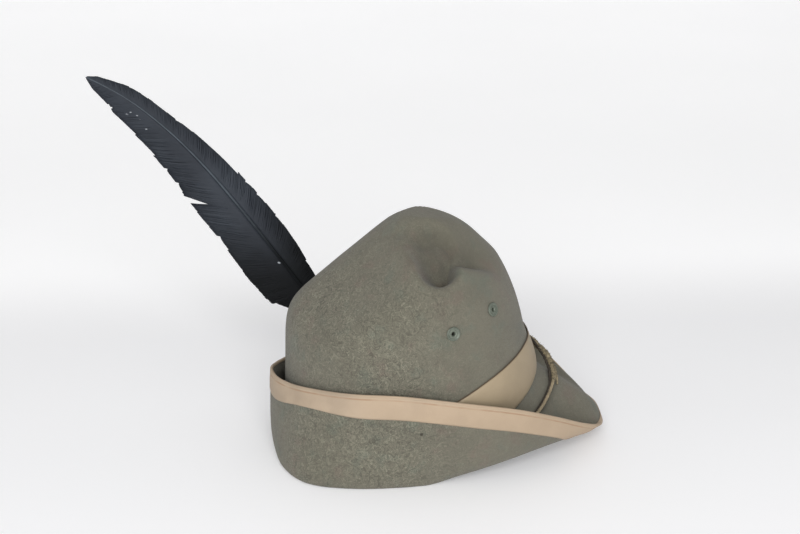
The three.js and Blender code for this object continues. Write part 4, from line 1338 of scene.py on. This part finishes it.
@dataclass
class HatCord:
    """Twisted cord round the crown's foot, with a wound knot and, over the peak, a dark tube of painted
    shade where the cord's shadow falls.

    The knot has one short end and loose fibres. Turns are in degrees from the front, minus to the
    left. The shadow tube's pairs are its value beside the plain cord and what the knot adds to it.
    """

    sheet: FeltSheet
    band: HatBand
    radius: float = 1.25
    rest: float = 0.6
    trough: float = 0.46
    clear_of_band: float = 9.0
    stations: int = 3200
    sides: int = 14
    pitch: float = 7.0
    strand: float = 0.16
    smoothing: int = 5
    smooth_step: int = 4
    even_over: tuple[float, ...] = (-3.0, -1.8, -0.6, 0.6, 1.8, 3.0)
    knot_from: float = -18.0
    knot_to: float = 6.0
    knot_ramp: float = 6.0
    knot_radius: float = 2.4
    knot_past: tuple[float, float] = (1.5, 3.5)
    knot_least: float = 0.42
    knot_span: tuple[float, float] = (0.1, 0.96)
    knot_blunt: float = 0.6
    knot_stations: int = 260
    knot_sides: int = 28
    knot_pitch: float = 5.0
    knot_strand: float = 0.17
    knot_ribs: int = 7
    knot_rib: float = 0.05
    end_turns: tuple[float, float] = (2.0, 8.0)
    end_aside: tuple[float, float] = (2.4, 5.9)
    end_sinks: float = 2.2
    end_stations: int = 60
    end_radius: float = 0.9
    fray_count: int = 300
    fray_margin: int = 6
    fray_length: tuple[float, float] = (1.0, 3.0)
    fray_thick: float = 0.26
    fray_root: float = 0.8
    fray_lean: float = 0.7
    fray_stray: float = 0.25
    # Dark tube of painted shade beside the cord: its turns, then pairs for radius, way aside and sinking,
    # and its strands
    shadow_tube_turns: tuple[float, float] = (-15.0, 33.0)
    shadow_tube_radius: tuple[float, float] = (0.7, 0.4)
    shadow_tube_aside: tuple[float, float] = (1.9, 0.9)
    shadow_tube_sinks: tuple[float, float] = (0.5, 1.5)
    shadow_tube_stations: int = 300
    shadow_tube_sides: int = 10
    shadow_tube_pitch: float = 4.0
    shadow_tube_strand: float = 0.15
    # Where the painted shadow line on the felt runs, beside the cord on the crown's side
    painted_shade_turns: tuple[float, float] = (-50.0, 60.0)
    painted_shade_aside: float = -3.0
    painted_shade_stations: int = 440

    def route(self, turns: Array, aside: Array | float = 0.0) -> tuple[Array, Array]:
        """Middle line and normal at signed turns, as the mean of nearby turns so that it bends evenly."""
        near = [self._laid(turns + turn, aside) for turn in self.even_over]
        line = sum(place for place, _ in near) / len(near)
        return line, unit(sum(normal for _, normal in near))

    def _laid(self, turns: Array, aside: Array | float) -> tuple[Array, Array]:
        """Middle line of the cord and the felt's normal at signed turns from the front.

        The cord goes out from the crown's foot by its sections, eased from row to row, and past the
        last rows lies in the trough. Its height is the felt's half, its own radius and its lift.
        """
        table = np.array(CORD_SECTIONS, dtype=float)
        i = np.clip(np.searchsorted(table[:, 0], turns, side="right") - 1, 0, len(table) - 2)
        share = ease((turns - table[i, 0]) / (table[i + 1, 0] - table[i, 0]))[:, None]
        out, lift = (table[i, 1:] + (table[i + 1, 1:] - table[i, 1:]) * share).T
        place = np.mod(turns, 360.0) * self.sheet.columns / 360.0
        k = np.floor(place).astype(int) % self.sheet.columns
        trough = (self.sheet.fold - self.sheet.foot)[k] * self.trough
        inside = (turns > table[0, 0]) & (turns < table[-1, 0])
        out = np.minimum(np.where(inside, out, trough), trough)
        lift = np.where(inside, lift, 0.0)
        into = ease((turns - self.knot_from + self.knot_ramp) / self.knot_ramp)
        out_of = self._knotted(turns)
        on_band = ease((self.clear_of_band - out) / self.clear_of_band) * (self.band.thick + self.band.gap)
        height = FELT / 2 + self.rest + self.radius + on_band + lift
        height = height + (self.knot_radius - self.radius) * into * out_of
        share = (place - np.floor(place))[:, None]
        pieces = []
        for column, weight in ((k, 1 - share), ((k + 1) % self.sheet.columns, share)):
            p, n = self._at(column, self.sheet.foot[column] + out + aside)
            pieces.append((p * weight, n * weight))
        p, n = pieces[0][0] + pieces[1][0], unit(pieces[0][1] + pieces[1][1])
        return p + n * height[:, None], n

    def _at(self, column: Array, length: Array) -> tuple[Array, Array]:
        """Places and normals on chosen columns at one length each."""
        run = self.sheet.run[column]
        i = np.clip((run < length[:, None]).sum(-1), 1, run.shape[1] - 1)
        rows = np.arange(len(column))
        t = np.clip((length - run[rows, i - 1]) / (run[rows, i] - run[rows, i - 1]), 0, 1)[:, None]
        p = self.sheet.points[column, i - 1] * (1 - t) + self.sheet.points[column, i] * t
        n = self.sheet.normals[column, i - 1] * (1 - t) + self.sheet.normals[column, i] * t
        return p, n

    def _knotted(self, turns: Array) -> Array:
        """Share of the knot left at turns past its end: 1 up to there, then falling to 0."""
        return ease((self.knot_to + self.knot_ramp - turns) / self.knot_ramp)

    @staticmethod
    def _phase(path: Array, pitch: float) -> Array:
        """Angle that the strands have turned at every point of a path, a full turn in each pitch."""
        return 2 * math.pi * running(path)[:, None] / pitch

    def _two_strands(self, phase: Array) -> Array:
        """Share that two strands add to the radius: the size of a cosine of the angle past the phase."""
        return self.strand * (np.abs(np.cos(circle(self.sides)[None, :] - phase)) * 2 - 1.3)

    def painted_shadow_line(self) -> Array:
        """Places beside the cord over the peak, on the crown's side, where a shadow line is painted on the
        felt.
        """
        return self.route(np.linspace(*self.painted_shade_turns, self.painted_shade_stations), aside=self.painted_shade_aside)[0]

    def build(self) -> None:
        """Makes the cord, its knot with the short end and the loose fibres, and the dark tube of painted
        shade.
        """
        path, normal = self.route(np.linspace(-180, 180, self.stations, endpoint=False))
        for _ in range(self.smoothing):
            beside = np.roll(path, self.smooth_step, 0) + np.roll(path, -self.smooth_step, 0)
            path = (beside + path * 2) / 4
        whole = running(path)[-1] + np.linalg.norm(path[0] - path[-1])
        swell = self._two_strands(self._phase(path, whole / round(whole / self.pitch)))
        thread = PlainFinish("cord_thread", linear(158, 143, 116), shade=0.62, grain=2600.0,
                             bump_depth=0.0005)
        tube(path, np.full(len(path), self.radius), normal, self.sides, "cord_twist", thread.make(),
             ["hat_cord"], swell=swell)
        self._build_knot()
        LOG.info("hat cord is %.0f mm round", whole)

    def _build_knot(self) -> None:
        """Winds the knot: a spindle with coarse slanting turns, and what belongs to it."""
        ends = (self.knot_from - self.knot_past[0], self.knot_to + self.knot_past[1])
        path, normal = self.route(np.linspace(*ends, self.knot_stations))
        bulge = np.sin(math.pi * np.linspace(*self.knot_span, self.knot_stations)) ** self.knot_blunt
        radius = self.knot_radius * (self.knot_least + (1 - self.knot_least) * bulge)
        past = circle(self.knot_sides)[None, :] - self._phase(path, self.knot_pitch)
        swell = self.knot_strand * (np.abs(np.cos(past)) ** 0.7 * 2 - 1.5)
        swell = swell + self.knot_rib * np.cos(self.knot_ribs * past)
        yarn = PlainFinish("knot_yarn", linear(150, 137, 110), shade=0.3, grain=1800.0, bump_depth=0.0008,
                           clouds=420.0).make()
        tube(path, radius, normal, self.knot_sides, "knot_wound", yarn, ["cord_knot"], closed=False,
             swell=swell)
        self._build_fray(path, radius, normal, yarn)
        self._build_shadow_tube()
        self._build_end(yarn)

    def _build_end(self, yarn: bpy.types.Material) -> None:
        """Makes the short end, which leaves the knot sideways and sinks to the felt."""
        turns = np.linspace(*self.end_turns, self.end_stations)
        path, normal = self.route(turns, aside=np.linspace(*self.end_aside, self.end_stations))
        path = path - normal * np.linspace(0, self.end_sinks, self.end_stations)[:, None]
        swell = self._two_strands(self._phase(path, self.knot_pitch))
        tube(path, np.full(len(path), self.end_radius), normal, self.sides, "knot_end", yarn,
             closed=False, swell=swell)

    def _build_fray(self, path: Array, radius: Array, normal: Array, yarn: bpy.types.Material) -> None:
        """Makes loose fibre ends that stand off the knot as thin three-sided spikes, all in one mesh.

        Args:
            path: middle line of the knot.
            radius: the knot's radius at every point of the path.
            normal: a direction across the path at every point.
            yarn: the knot's finish.
        """
        rng = np.random.default_rng(5)
        one_each = (self.fray_count, 1)
        ahead = unit(np.gradient(path, axis=0))
        u = unit(np.cross(ahead, normal))
        w = np.cross(u, ahead)
        k = rng.integers(self.fray_margin, len(path) - self.fray_margin, self.fray_count)
        angle = rng.uniform(0, 2 * math.pi, self.fray_count)[:, None]
        out = u[k] * np.cos(angle) + w[k] * np.sin(angle)
        slant = ahead[k] * rng.normal(0, self.fray_lean, one_each)
        lean = unit(out + slant + rng.normal(0, self.fray_stray, out.shape))
        root = path[k] + out * radius[k][:, None] * self.fray_root
        tip = root + lean * rng.uniform(*self.fray_length, one_each)
        side = unit(np.cross(lean, ahead[k]))
        other = np.cross(lean, side)
        foot = [root + self.fray_thick * (side * math.cos(a) + other * math.sin(a)) for a in circle(3)]
        points = np.stack([*foot, tip], axis=1).reshape(-1, 3)
        spike = np.array([[0, 2, 1], [0, 1, 3], [1, 2, 3], [2, 0, 3]])
        _, spike = outward(points[:4], NO_QUADS, spike)
        tris = (spike[None] + (np.arange(self.fray_count) * 4)[:, None, None]).reshape(-1, 3)
        make_piece("knot_fray", points, NO_QUADS, tris, yarn)

    def _build_shadow_tube(self) -> None:
        """Makes the dark tube beside the cord over the peak, stouter beside the knot: painted shade where
        the cord's shadow falls.
        """
        turns = np.linspace(*self.shadow_tube_turns, self.shadow_tube_stations)
        knotted = self._knotted(turns)
        radius, aside, sinks = (plain + more * knotted
                                for plain, more in (self.shadow_tube_radius, self.shadow_tube_aside, self.shadow_tube_sinks))
        path, normal = self.route(turns, aside=-aside)
        path = path - normal * sinks[:, None]
        past = 2 * circle(self.shadow_tube_sides)[None, :] - self._phase(path, self.shadow_tube_pitch)
        # Painted shade: a dark tube laid where the cord's shadow falls
        dark = PlainFinish("shadow_tube", linear(58, 50, 41), shade=0.5, grain=2200.0, bump_depth=0.0005)
        tube(path, radius, normal, self.shadow_tube_sides, "cord_shadow_tube", dark.make(), closed=False,
             swell=self.shadow_tube_strand * np.cos(past))


@dataclass
class Eyelets:
    """Painted vent eyelets: a flange with a rolled edge, a dished face and a bore through the felt.

    The face's section is pairs of radius and height over its seat, the back's of radius and height
    over the felt's inner face.
    """

    crown: CrownForm
    azimuths: tuple[float, float] = (69.5, 42.0)
    elevations: tuple[float, float] = (37.3, 41.2)
    names: tuple[str, str] = ("rear", "front")
    sides: int = 48
    seat: float = 0.15
    back_gap: float = 0.2
    back: tuple[tuple[float, float], ...] = (
        (1.35, 0.0), (1.7, -0.6), (2.6, -0.75), (3.9, -0.6), (4.0, -0.1), (2.4, 0.0),
    )
    face: tuple[tuple[float, float], ...] = (
        (2.4, 0.0), (5.1, 0.0), (5.4, 0.3), (5.3, 0.75), (4.9, 1.0), (4.4, 0.95), (3.9, 0.65),
        (3.2, 0.6), (2.6, 0.85), (2.1, 0.8), (1.6, 0.45), (1.4, -0.2),
    )

    def places(self) -> list[tuple[Array, Array]]:
        """Centre on the felt's middle and outward normal of each eyelet, right side first."""
        found = []
        step = math.radians(1)
        beside = np.array([[0, 0], [step, 0], [-step, 0], [0, step], [0, -step]])
        for sign in (-1, 1):
            for azimuth, elevation in zip(self.azimuths, self.elevations):
                a, e = sign * math.radians(azimuth), math.radians(elevation)
                p = self.crown.middle(directions(a + beside[:, 0], e + beside[:, 1]))
                found.append((p[0], unit(np.cross(p[1] - p[2], p[3] - p[4]))))
        return found

    def profile(self) -> Array:
        """Radius and height over the felt's middle round the eyelet's section."""
        back = np.add(self.back, (0.0, -FELT / 2 - self.back_gap))
        return np.concatenate([back, np.add(self.face, (0.0, FELT / 2 + self.seat))])

    def build(self) -> None:
        """Makes the four eyelets."""
        paint = PlainFinish("eyelet_paint", linear(103, 110, 98), shade=0.72, roughness=0.34, clouds=400.0,
                            metal=0.2).make()
        section = self.profile()
        angle = circle(self.sides)[:, None]
        names = [f"{side}_{name}" for side in ("right", "left") for name in self.names]
        for name, (place, normal) in zip(names, self.places()):
            u = unit(np.cross(normal, [0.0, 0.0, 1.0]))
            spoke = u * np.cos(angle) + np.cross(normal, u) * np.sin(angle)
            ring = place + normal * section[:, None, 1:] + spoke[None] * section[:, None, :1]
            points = ring.reshape(-1, 3)
            quads = grid_quads(len(section), self.sides, close_rows=True)
            quads, _ = outward(points - place, quads, NO_TRIS)
            make_piece(f"eyelet_{name}", points, quads, NO_TRIS, paint, [f"vent_eyelet_{name}"])


@dataclass
class Feather:
    """Long dark feather: a tapered quill and slanting barbs that hold together in uneven groups.

    Lengths run along the quill from the tip. The seat is how far the quill's near side stands off
    the felt in its sleeve.
    """

    crown: CrownForm
    lean: float = 0.085
    seat: float = 1.9
    quill: float = 1.7
    tip_quill: float = 0.45
    quill_sides: int = 14
    stations_count: int = 400
    slant: float = 1.0
    slant_end: float = 0.1
    slant_from: float = 190.0
    first_barb: float = 2.0
    last_gap: float = 0.6
    barbs: int = 780
    barb_points: int = 9
    barb_half: float = 0.8
    barb_thick: float = 0.09
    barb_narrows: float = 0.55
    barb_thins: float = 0.5
    barb_curl: float = 0.15
    barb_stray: float = 0.05
    camber: float = 0.05
    group_chance: float = 0.03
    group_ragged: float = 0.012
    group_slope: float = 0.0005
    barb_ragged: float = 0.003
    barb_longer: float = 1.01
    barb_least: float = 0.5
    splay: float = 0.14
    notch_at: float = 163.0
    notch_open: float = 5.0
    notch_drop: float = 3.2
    notch_fade: float = 13.0
    notch_reach: float = 14.0
    notch_ramp: float = 18.0
    nick_depth: float = 0.07
    nick_long: float = 3.5

    def __post_init__(self) -> None:
        """Lays the quill's line with even steps from the tip to the foot."""
        table = np.array(QUILL_SECTIONS)
        foot = table[-1]
        wall = self._left_wall(foot[0], foot[1], FELT / 2 + self.seat + self.quill)
        away = np.hypot(table[:, 0] - foot[0], table[:, 1] - foot[1])
        knots = np.stack([table[:, 0], wall + self.lean * away, table[:, 1]], axis=1)
        self.section_lengths = running(knots)
        self.length = self.section_lengths[-1]
        self.bare_from = self.section_lengths[-2]
        slopes = np.gradient(knots, self.section_lengths, axis=0)
        s = np.linspace(0, self.length, self.stations_count)
        i = np.clip(np.searchsorted(self.section_lengths, s, side="right") - 1, 0, len(knots) - 2)
        span = (self.section_lengths[i + 1] - self.section_lengths[i])[:, None]
        t = (s - self.section_lengths[i])[:, None] / span
        self.stations = s
        self.line = hermite(knots[i], slopes[i] * span, knots[i + 1], slopes[i + 1] * span, t)
        self.reaches = table[:, 2:]

    def _left_wall(self, forward: float, height: float, above: float) -> float:
        """Distance out in Y of the crown's left wall at a place in the side view, found by halving."""
        low, high = 0.0, 2 * self.crown.half_width
        for _ in range(40):
            y = (low + high) / 2
            p = np.array([forward, y, height]) - EYE
            reach = np.linalg.norm(self.crown.middle(unit(p)[None])[0] - EYE) + above
            low, high = (y, high) if np.linalg.norm(p) < reach else (low, y)
        return (low + high) / 2

    def along(self, s: Array) -> tuple[Array, Array, Array, Array]:
        """Centre, direction to the foot, direction over the quill and direction off its face, at lengths."""
        centre = np.stack([np.interp(s, self.stations, self.line[:, k]) for k in range(3)], axis=-1)
        slope = np.gradient(self.line, self.stations, axis=0)
        tangent = unit(np.stack([np.interp(s, self.stations, slope[:, k]) for k in range(3)], axis=-1))
        over = unit(np.stack([-tangent[..., 2], np.zeros_like(s), tangent[..., 0]], axis=-1))
        return centre, tangent, over, unit(np.cross(over, tangent))

    def reach(self, s: Array, side: int) -> Array:
        """Reach of the vane at lengths from the tip, on side 0 over the quill or side 1 under it."""
        return np.interp(s, self.section_lengths, self.reaches[:, side])

    def barb_reach(self, root: Array, side: int) -> Array:
        """Reach of the barbs by their roots: a slanting barb ends where the vane's reach at its end is."""
        reach = self.reach(root, side)
        for _ in range(16):
            reach = (reach + self.reach(root - self.slant_at(root) * reach, side)) / 2
        return reach

    def slant_at(self, root: Array) -> Array:
        """Way that a barb leans to the tip for each millimetre out, less towards the vane's foot."""
        late = ease((root - self.slant_from) / (self.bare_from - self.slant_from))
        return self.slant + (self.slant_end - self.slant) * late

    def build(self) -> None:
        """Makes the two sides of the vane and the quill, and paints the plain sleeve that holds it."""
        for side, name in ((0, "over"), (1, "under")):
            self._build_vane(side, name)
        self._build_quill()
        self._build_sleeve()

    def _build_vane(self, side: int, name: str) -> None:
        """Makes the barbs of one side as thin four-sided blades, whole arrays at once.

        A barb goes out along the vane and back to the tip by its slant, curls and splays a little,
        and is bent by the camber. Under the quill the barbs part at the notch.
        """
        rng = np.random.default_rng(21 + side)
        root = np.linspace(self.first_barb, self.bare_from - self.last_gap, self.barbs)
        reach = self.barb_reach(root, side)
        group = np.cumsum(rng.random(self.barbs) < self.group_chance)
        order = np.arange(self.barbs)
        starts = np.concatenate([[True], np.diff(group) > 0])
        place = order - np.maximum.accumulate(np.where(starts, order, 0))
        ragged = rng.normal(0, self.group_ragged, group[-1] + 1)[group] - self.group_slope * place
        ragged = ragged + rng.normal(0, self.barb_ragged, self.barbs)
        for nick in VANE_NICKS[side]:
            past = root - nick
            reach = reach * (1 - np.where(past > 0, self.nick_depth * np.exp(-past / self.nick_long), 0.0))
        reach = np.maximum(reach * (self.barb_longer + ragged), self.barb_least)
        splay = rng.normal(0, self.splay, group[-1] + 1)[group][:, None]
        q = np.linspace(0, 1, self.barb_points)[None, :]
        out = reach[:, None] * q
        curl = (1 - self.barb_curl) * q + self.barb_curl * q * q
        back = (self.slant_at(root) * reach)[:, None] * curl + splay * q**2
        if side == 1:
            before = self.notch_at - root
            fade = np.exp(-np.abs(before) / self.notch_fade)[:, None]
            opened = np.where(before > 0, self.notch_open, -self.notch_drop)[:, None] * fade
            back = back + opened * ease((out - self.notch_reach) / self.notch_ramp)
        bend = self.camber * out * q + rng.normal(0, self.barb_stray, (self.barbs, 1)) * q
        centre, tangent, over, face = (a[:, None] for a in self.along(root))
        aside = out if side == 0 else -out
        line = centre + over * aside[..., None] - tangent * back[..., None] + face * bend[..., None]
        way = unit(np.gradient(line, axis=1))
        flat = unit(np.cross(face * np.ones_like(way), way))
        half = flat * (self.barb_half * (1 - self.barb_narrows * q**3))[..., None]
        thick = face * (self.barb_thick * (1 - self.barb_thins * q))[..., None]
        blades = np.stack([line + half, line + thick, line - half, line - thick], axis=2)
        steps = self.barb_points
        caps = np.array([[3, 2, 1, 0], [0, 1, 2, 3]]) + np.array([[0], [(steps - 1) * 4]])
        blade = np.concatenate([grid_quads(steps, 4), caps])
        blade, _ = outward(blades[self.barbs // 2].reshape(-1, 3), blade, NO_TRIS)
        quads = (blade[None] + (order * steps * 4)[:, None, None]).reshape(-1, 4)
        uv = map_places(root[:, None, None], np.broadcast_to(out[:, :, None], (self.barbs, steps, 4)))
        finish = FeatherVane(specks=VANE_SPECKS if side else ())
        make_piece(f"feather_vane_{name}", blades.reshape(-1, 3), quads, NO_TRIS, finish.make(),
                   ["feather"] if side == 0 else (), uv)

    def _build_quill(self) -> None:
        """Makes the tapered quill, a little flattened along the vane."""
        s = np.linspace(0, self.length, 240)
        centre, _, _, face = self.along(s)
        share = s / self.length
        radius = self.tip_quill + (self.quill - self.tip_quill) * share**1.6
        tube(centre, radius, face, self.quill_sides, "feather_quill", QuillHorn().make(),
             closed=False)

    def _build_sleeve(self) -> None:
        """Gives the carried-over sleeve its worn paint."""
        finish = PlainFinish("sleeve_paint", linear(92, 92, 84), shade=0.7, roughness=0.55, metal=0.3).make()
        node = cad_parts["feather_holder"]
        node.data.materials.clear()
        node.data.materials.append(finish)


@dataclass(frozen=True)
class Studio:
    """Pale floor that curves up far behind the hat, one soft light, an even surround and the camera.

    The camera's distance is in millimetres and the floor's and the light's places in metres. The
    floor glows more and more from place to place along y, away from the camera.
    """

    distance: float = 1100.0
    azimuth: float = math.radians(5)
    elevation: float = math.radians(25)
    yaw: float = math.radians(4.7215)
    pitch: float = math.radians(-20.790)
    lens: float = 61.13
    floor_half: float = 3.0
    floor_front: float = -2.5
    floor_under: float = 0.0002
    wall_at: float = 2.3
    wall_top: float = 2.5
    sweep: float = 0.5
    sweep_rows: int = 40
    cloth: tuple[Colour, Colour] = (linear(236, 236, 237), linear(240, 240, 241))
    glow: tuple[Colour, Colour, Colour] = ((0.13, 0.13, 0.134), (0.29, 0.29, 0.29), (0.33, 0.33, 0.33))
    glow_places: tuple[float, float, float] = (0.2, 0.42, 1.6)
    surround: float = 0.5
    key_place: tuple[float, float, float] = (-0.1, -1.65, 0.84)
    key_aim: tuple[float, float, float] = (0.0, 0.0, 0.1)
    key_size: float = 1.4
    key_power: float = 28.0

    def build(self) -> None:
        """Makes the floor, the camera and the light."""
        self._floor()
        self._camera()
        self._light()
        scene = bpy.context.scene
        scene.view_settings.view_transform = "Standard"
        scene.view_settings.look = "None"

    def _floor(self) -> None:
        """A pale sheet with a quarter round at the back, from the flat floor to an upright wall."""
        x = np.linspace(-self.floor_half, self.floor_half, 3)
        bend = np.linspace(0, math.pi / 2, self.sweep_rows)
        y = np.concatenate([[self.floor_front], self.wall_at + self.sweep * np.sin(bend),
                            [self.wall_at + self.sweep]])
        z = np.concatenate([[0.0], self.sweep * (1 - np.cos(bend)), [self.wall_top]]) - self.floor_under
        grid = np.stack(np.broadcast_arrays(x[None, :], y[:, None], z[:, None]), axis=-1).reshape(-1, 3)
        mesh = bpy.data.meshes.new("floor")
        mesh.from_pydata(grid.tolist(), [], grid_quads(len(y), len(x), close_columns=False).tolist())
        mesh.polygons.foreach_set("use_smooth", np.ones(len(mesh.polygons), dtype=bool))
        floor = bpy.data.objects.new("floor", mesh)
        g = Graph("floor_cloth")
        _, y, _ = g.parts(g.place)
        near, middle, far = self.glow_places
        glow = g.mix(y.between(near, middle), self.glow[0], self.glow[1])
        glow = g.mix(y.between(middle, far), glow, self.glow[2])
        g.set(Base_Color=g.mix(g.noise(Noise(2.0)).between(0.2, 0.8), *self.cloth), Roughness=0.9,
              Emission_Color=glow, Emission_Strength=1.0)
        mesh.materials.append(g.material)
        bpy.context.scene.collection.objects.link(floor)
        floor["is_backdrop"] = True

    def _camera(self) -> None:
        """The camera at the photographed angle."""
        data = bpy.data.cameras.new("camera")
        data.lens = self.lens
        data.sensor_width = 36.0
        camera = bpy.data.objects.new("camera", data)
        back = directions(np.array(-math.pi / 2 - self.azimuth), np.array(self.elevation))
        camera.location = Vector((HAT_CENTRE + EYE + self.distance * back) * MM)
        camera.rotation_euler = (math.pi / 2 + self.pitch, 0.0, -self.yaw)
        bpy.context.scene.collection.objects.link(camera)
        bpy.context.scene.camera = camera

    def _light(self) -> None:
        """One large soft light in front of the hat and an even pale surround."""
        world = bpy.data.worlds.new("surround")
        world.use_nodes = True
        background = world.node_tree.nodes["Background"]
        background.inputs[0].default_value = (1.0, 1.0, 1.0, 1.0)
        background.inputs[1].default_value = self.surround
        bpy.context.scene.world = world
        data = bpy.data.lights.new("key", "AREA")
        data.shape = "DISK"
        data.size = self.key_size
        data.energy = self.key_power
        lamp = bpy.data.objects.new("key", data)
        lamp.location = self.key_place
        aim = Vector(self.key_aim) - Vector(self.key_place)
        lamp.rotation_euler = aim.to_track_quat("-Z", "Y").to_euler()
        bpy.context.scene.collection.objects.link(lamp)


def corners() -> list[list[float]]:
    """Lowest and highest corner of what is shown, as plain lists."""
    return [[float(v) for v in corner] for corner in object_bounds()]


def main() -> None:
    """Builds the hat's pieces in order."""
    logging.basicConfig(level=logging.INFO)
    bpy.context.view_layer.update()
    crown = CrownForm()
    sheet = FeltSheet(crown)
    eyelets = Eyelets(crown)
    shell = FeltShell(sheet, crown)
    band = HatBand(sheet)
    cord = HatCord(sheet, band)
    shell.build(eyelets, cord.painted_shadow_line())
    band.build()
    BrimBinding(sheet, shell).build()
    cord.build()
    eyelets.build()
    Feather(crown).build()
    Studio().build()
    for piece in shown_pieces():
        LOG.info("piece %s has %d faces", piece.name, len(piece.data.polygons))


if __name__ == "__main__":
    main()
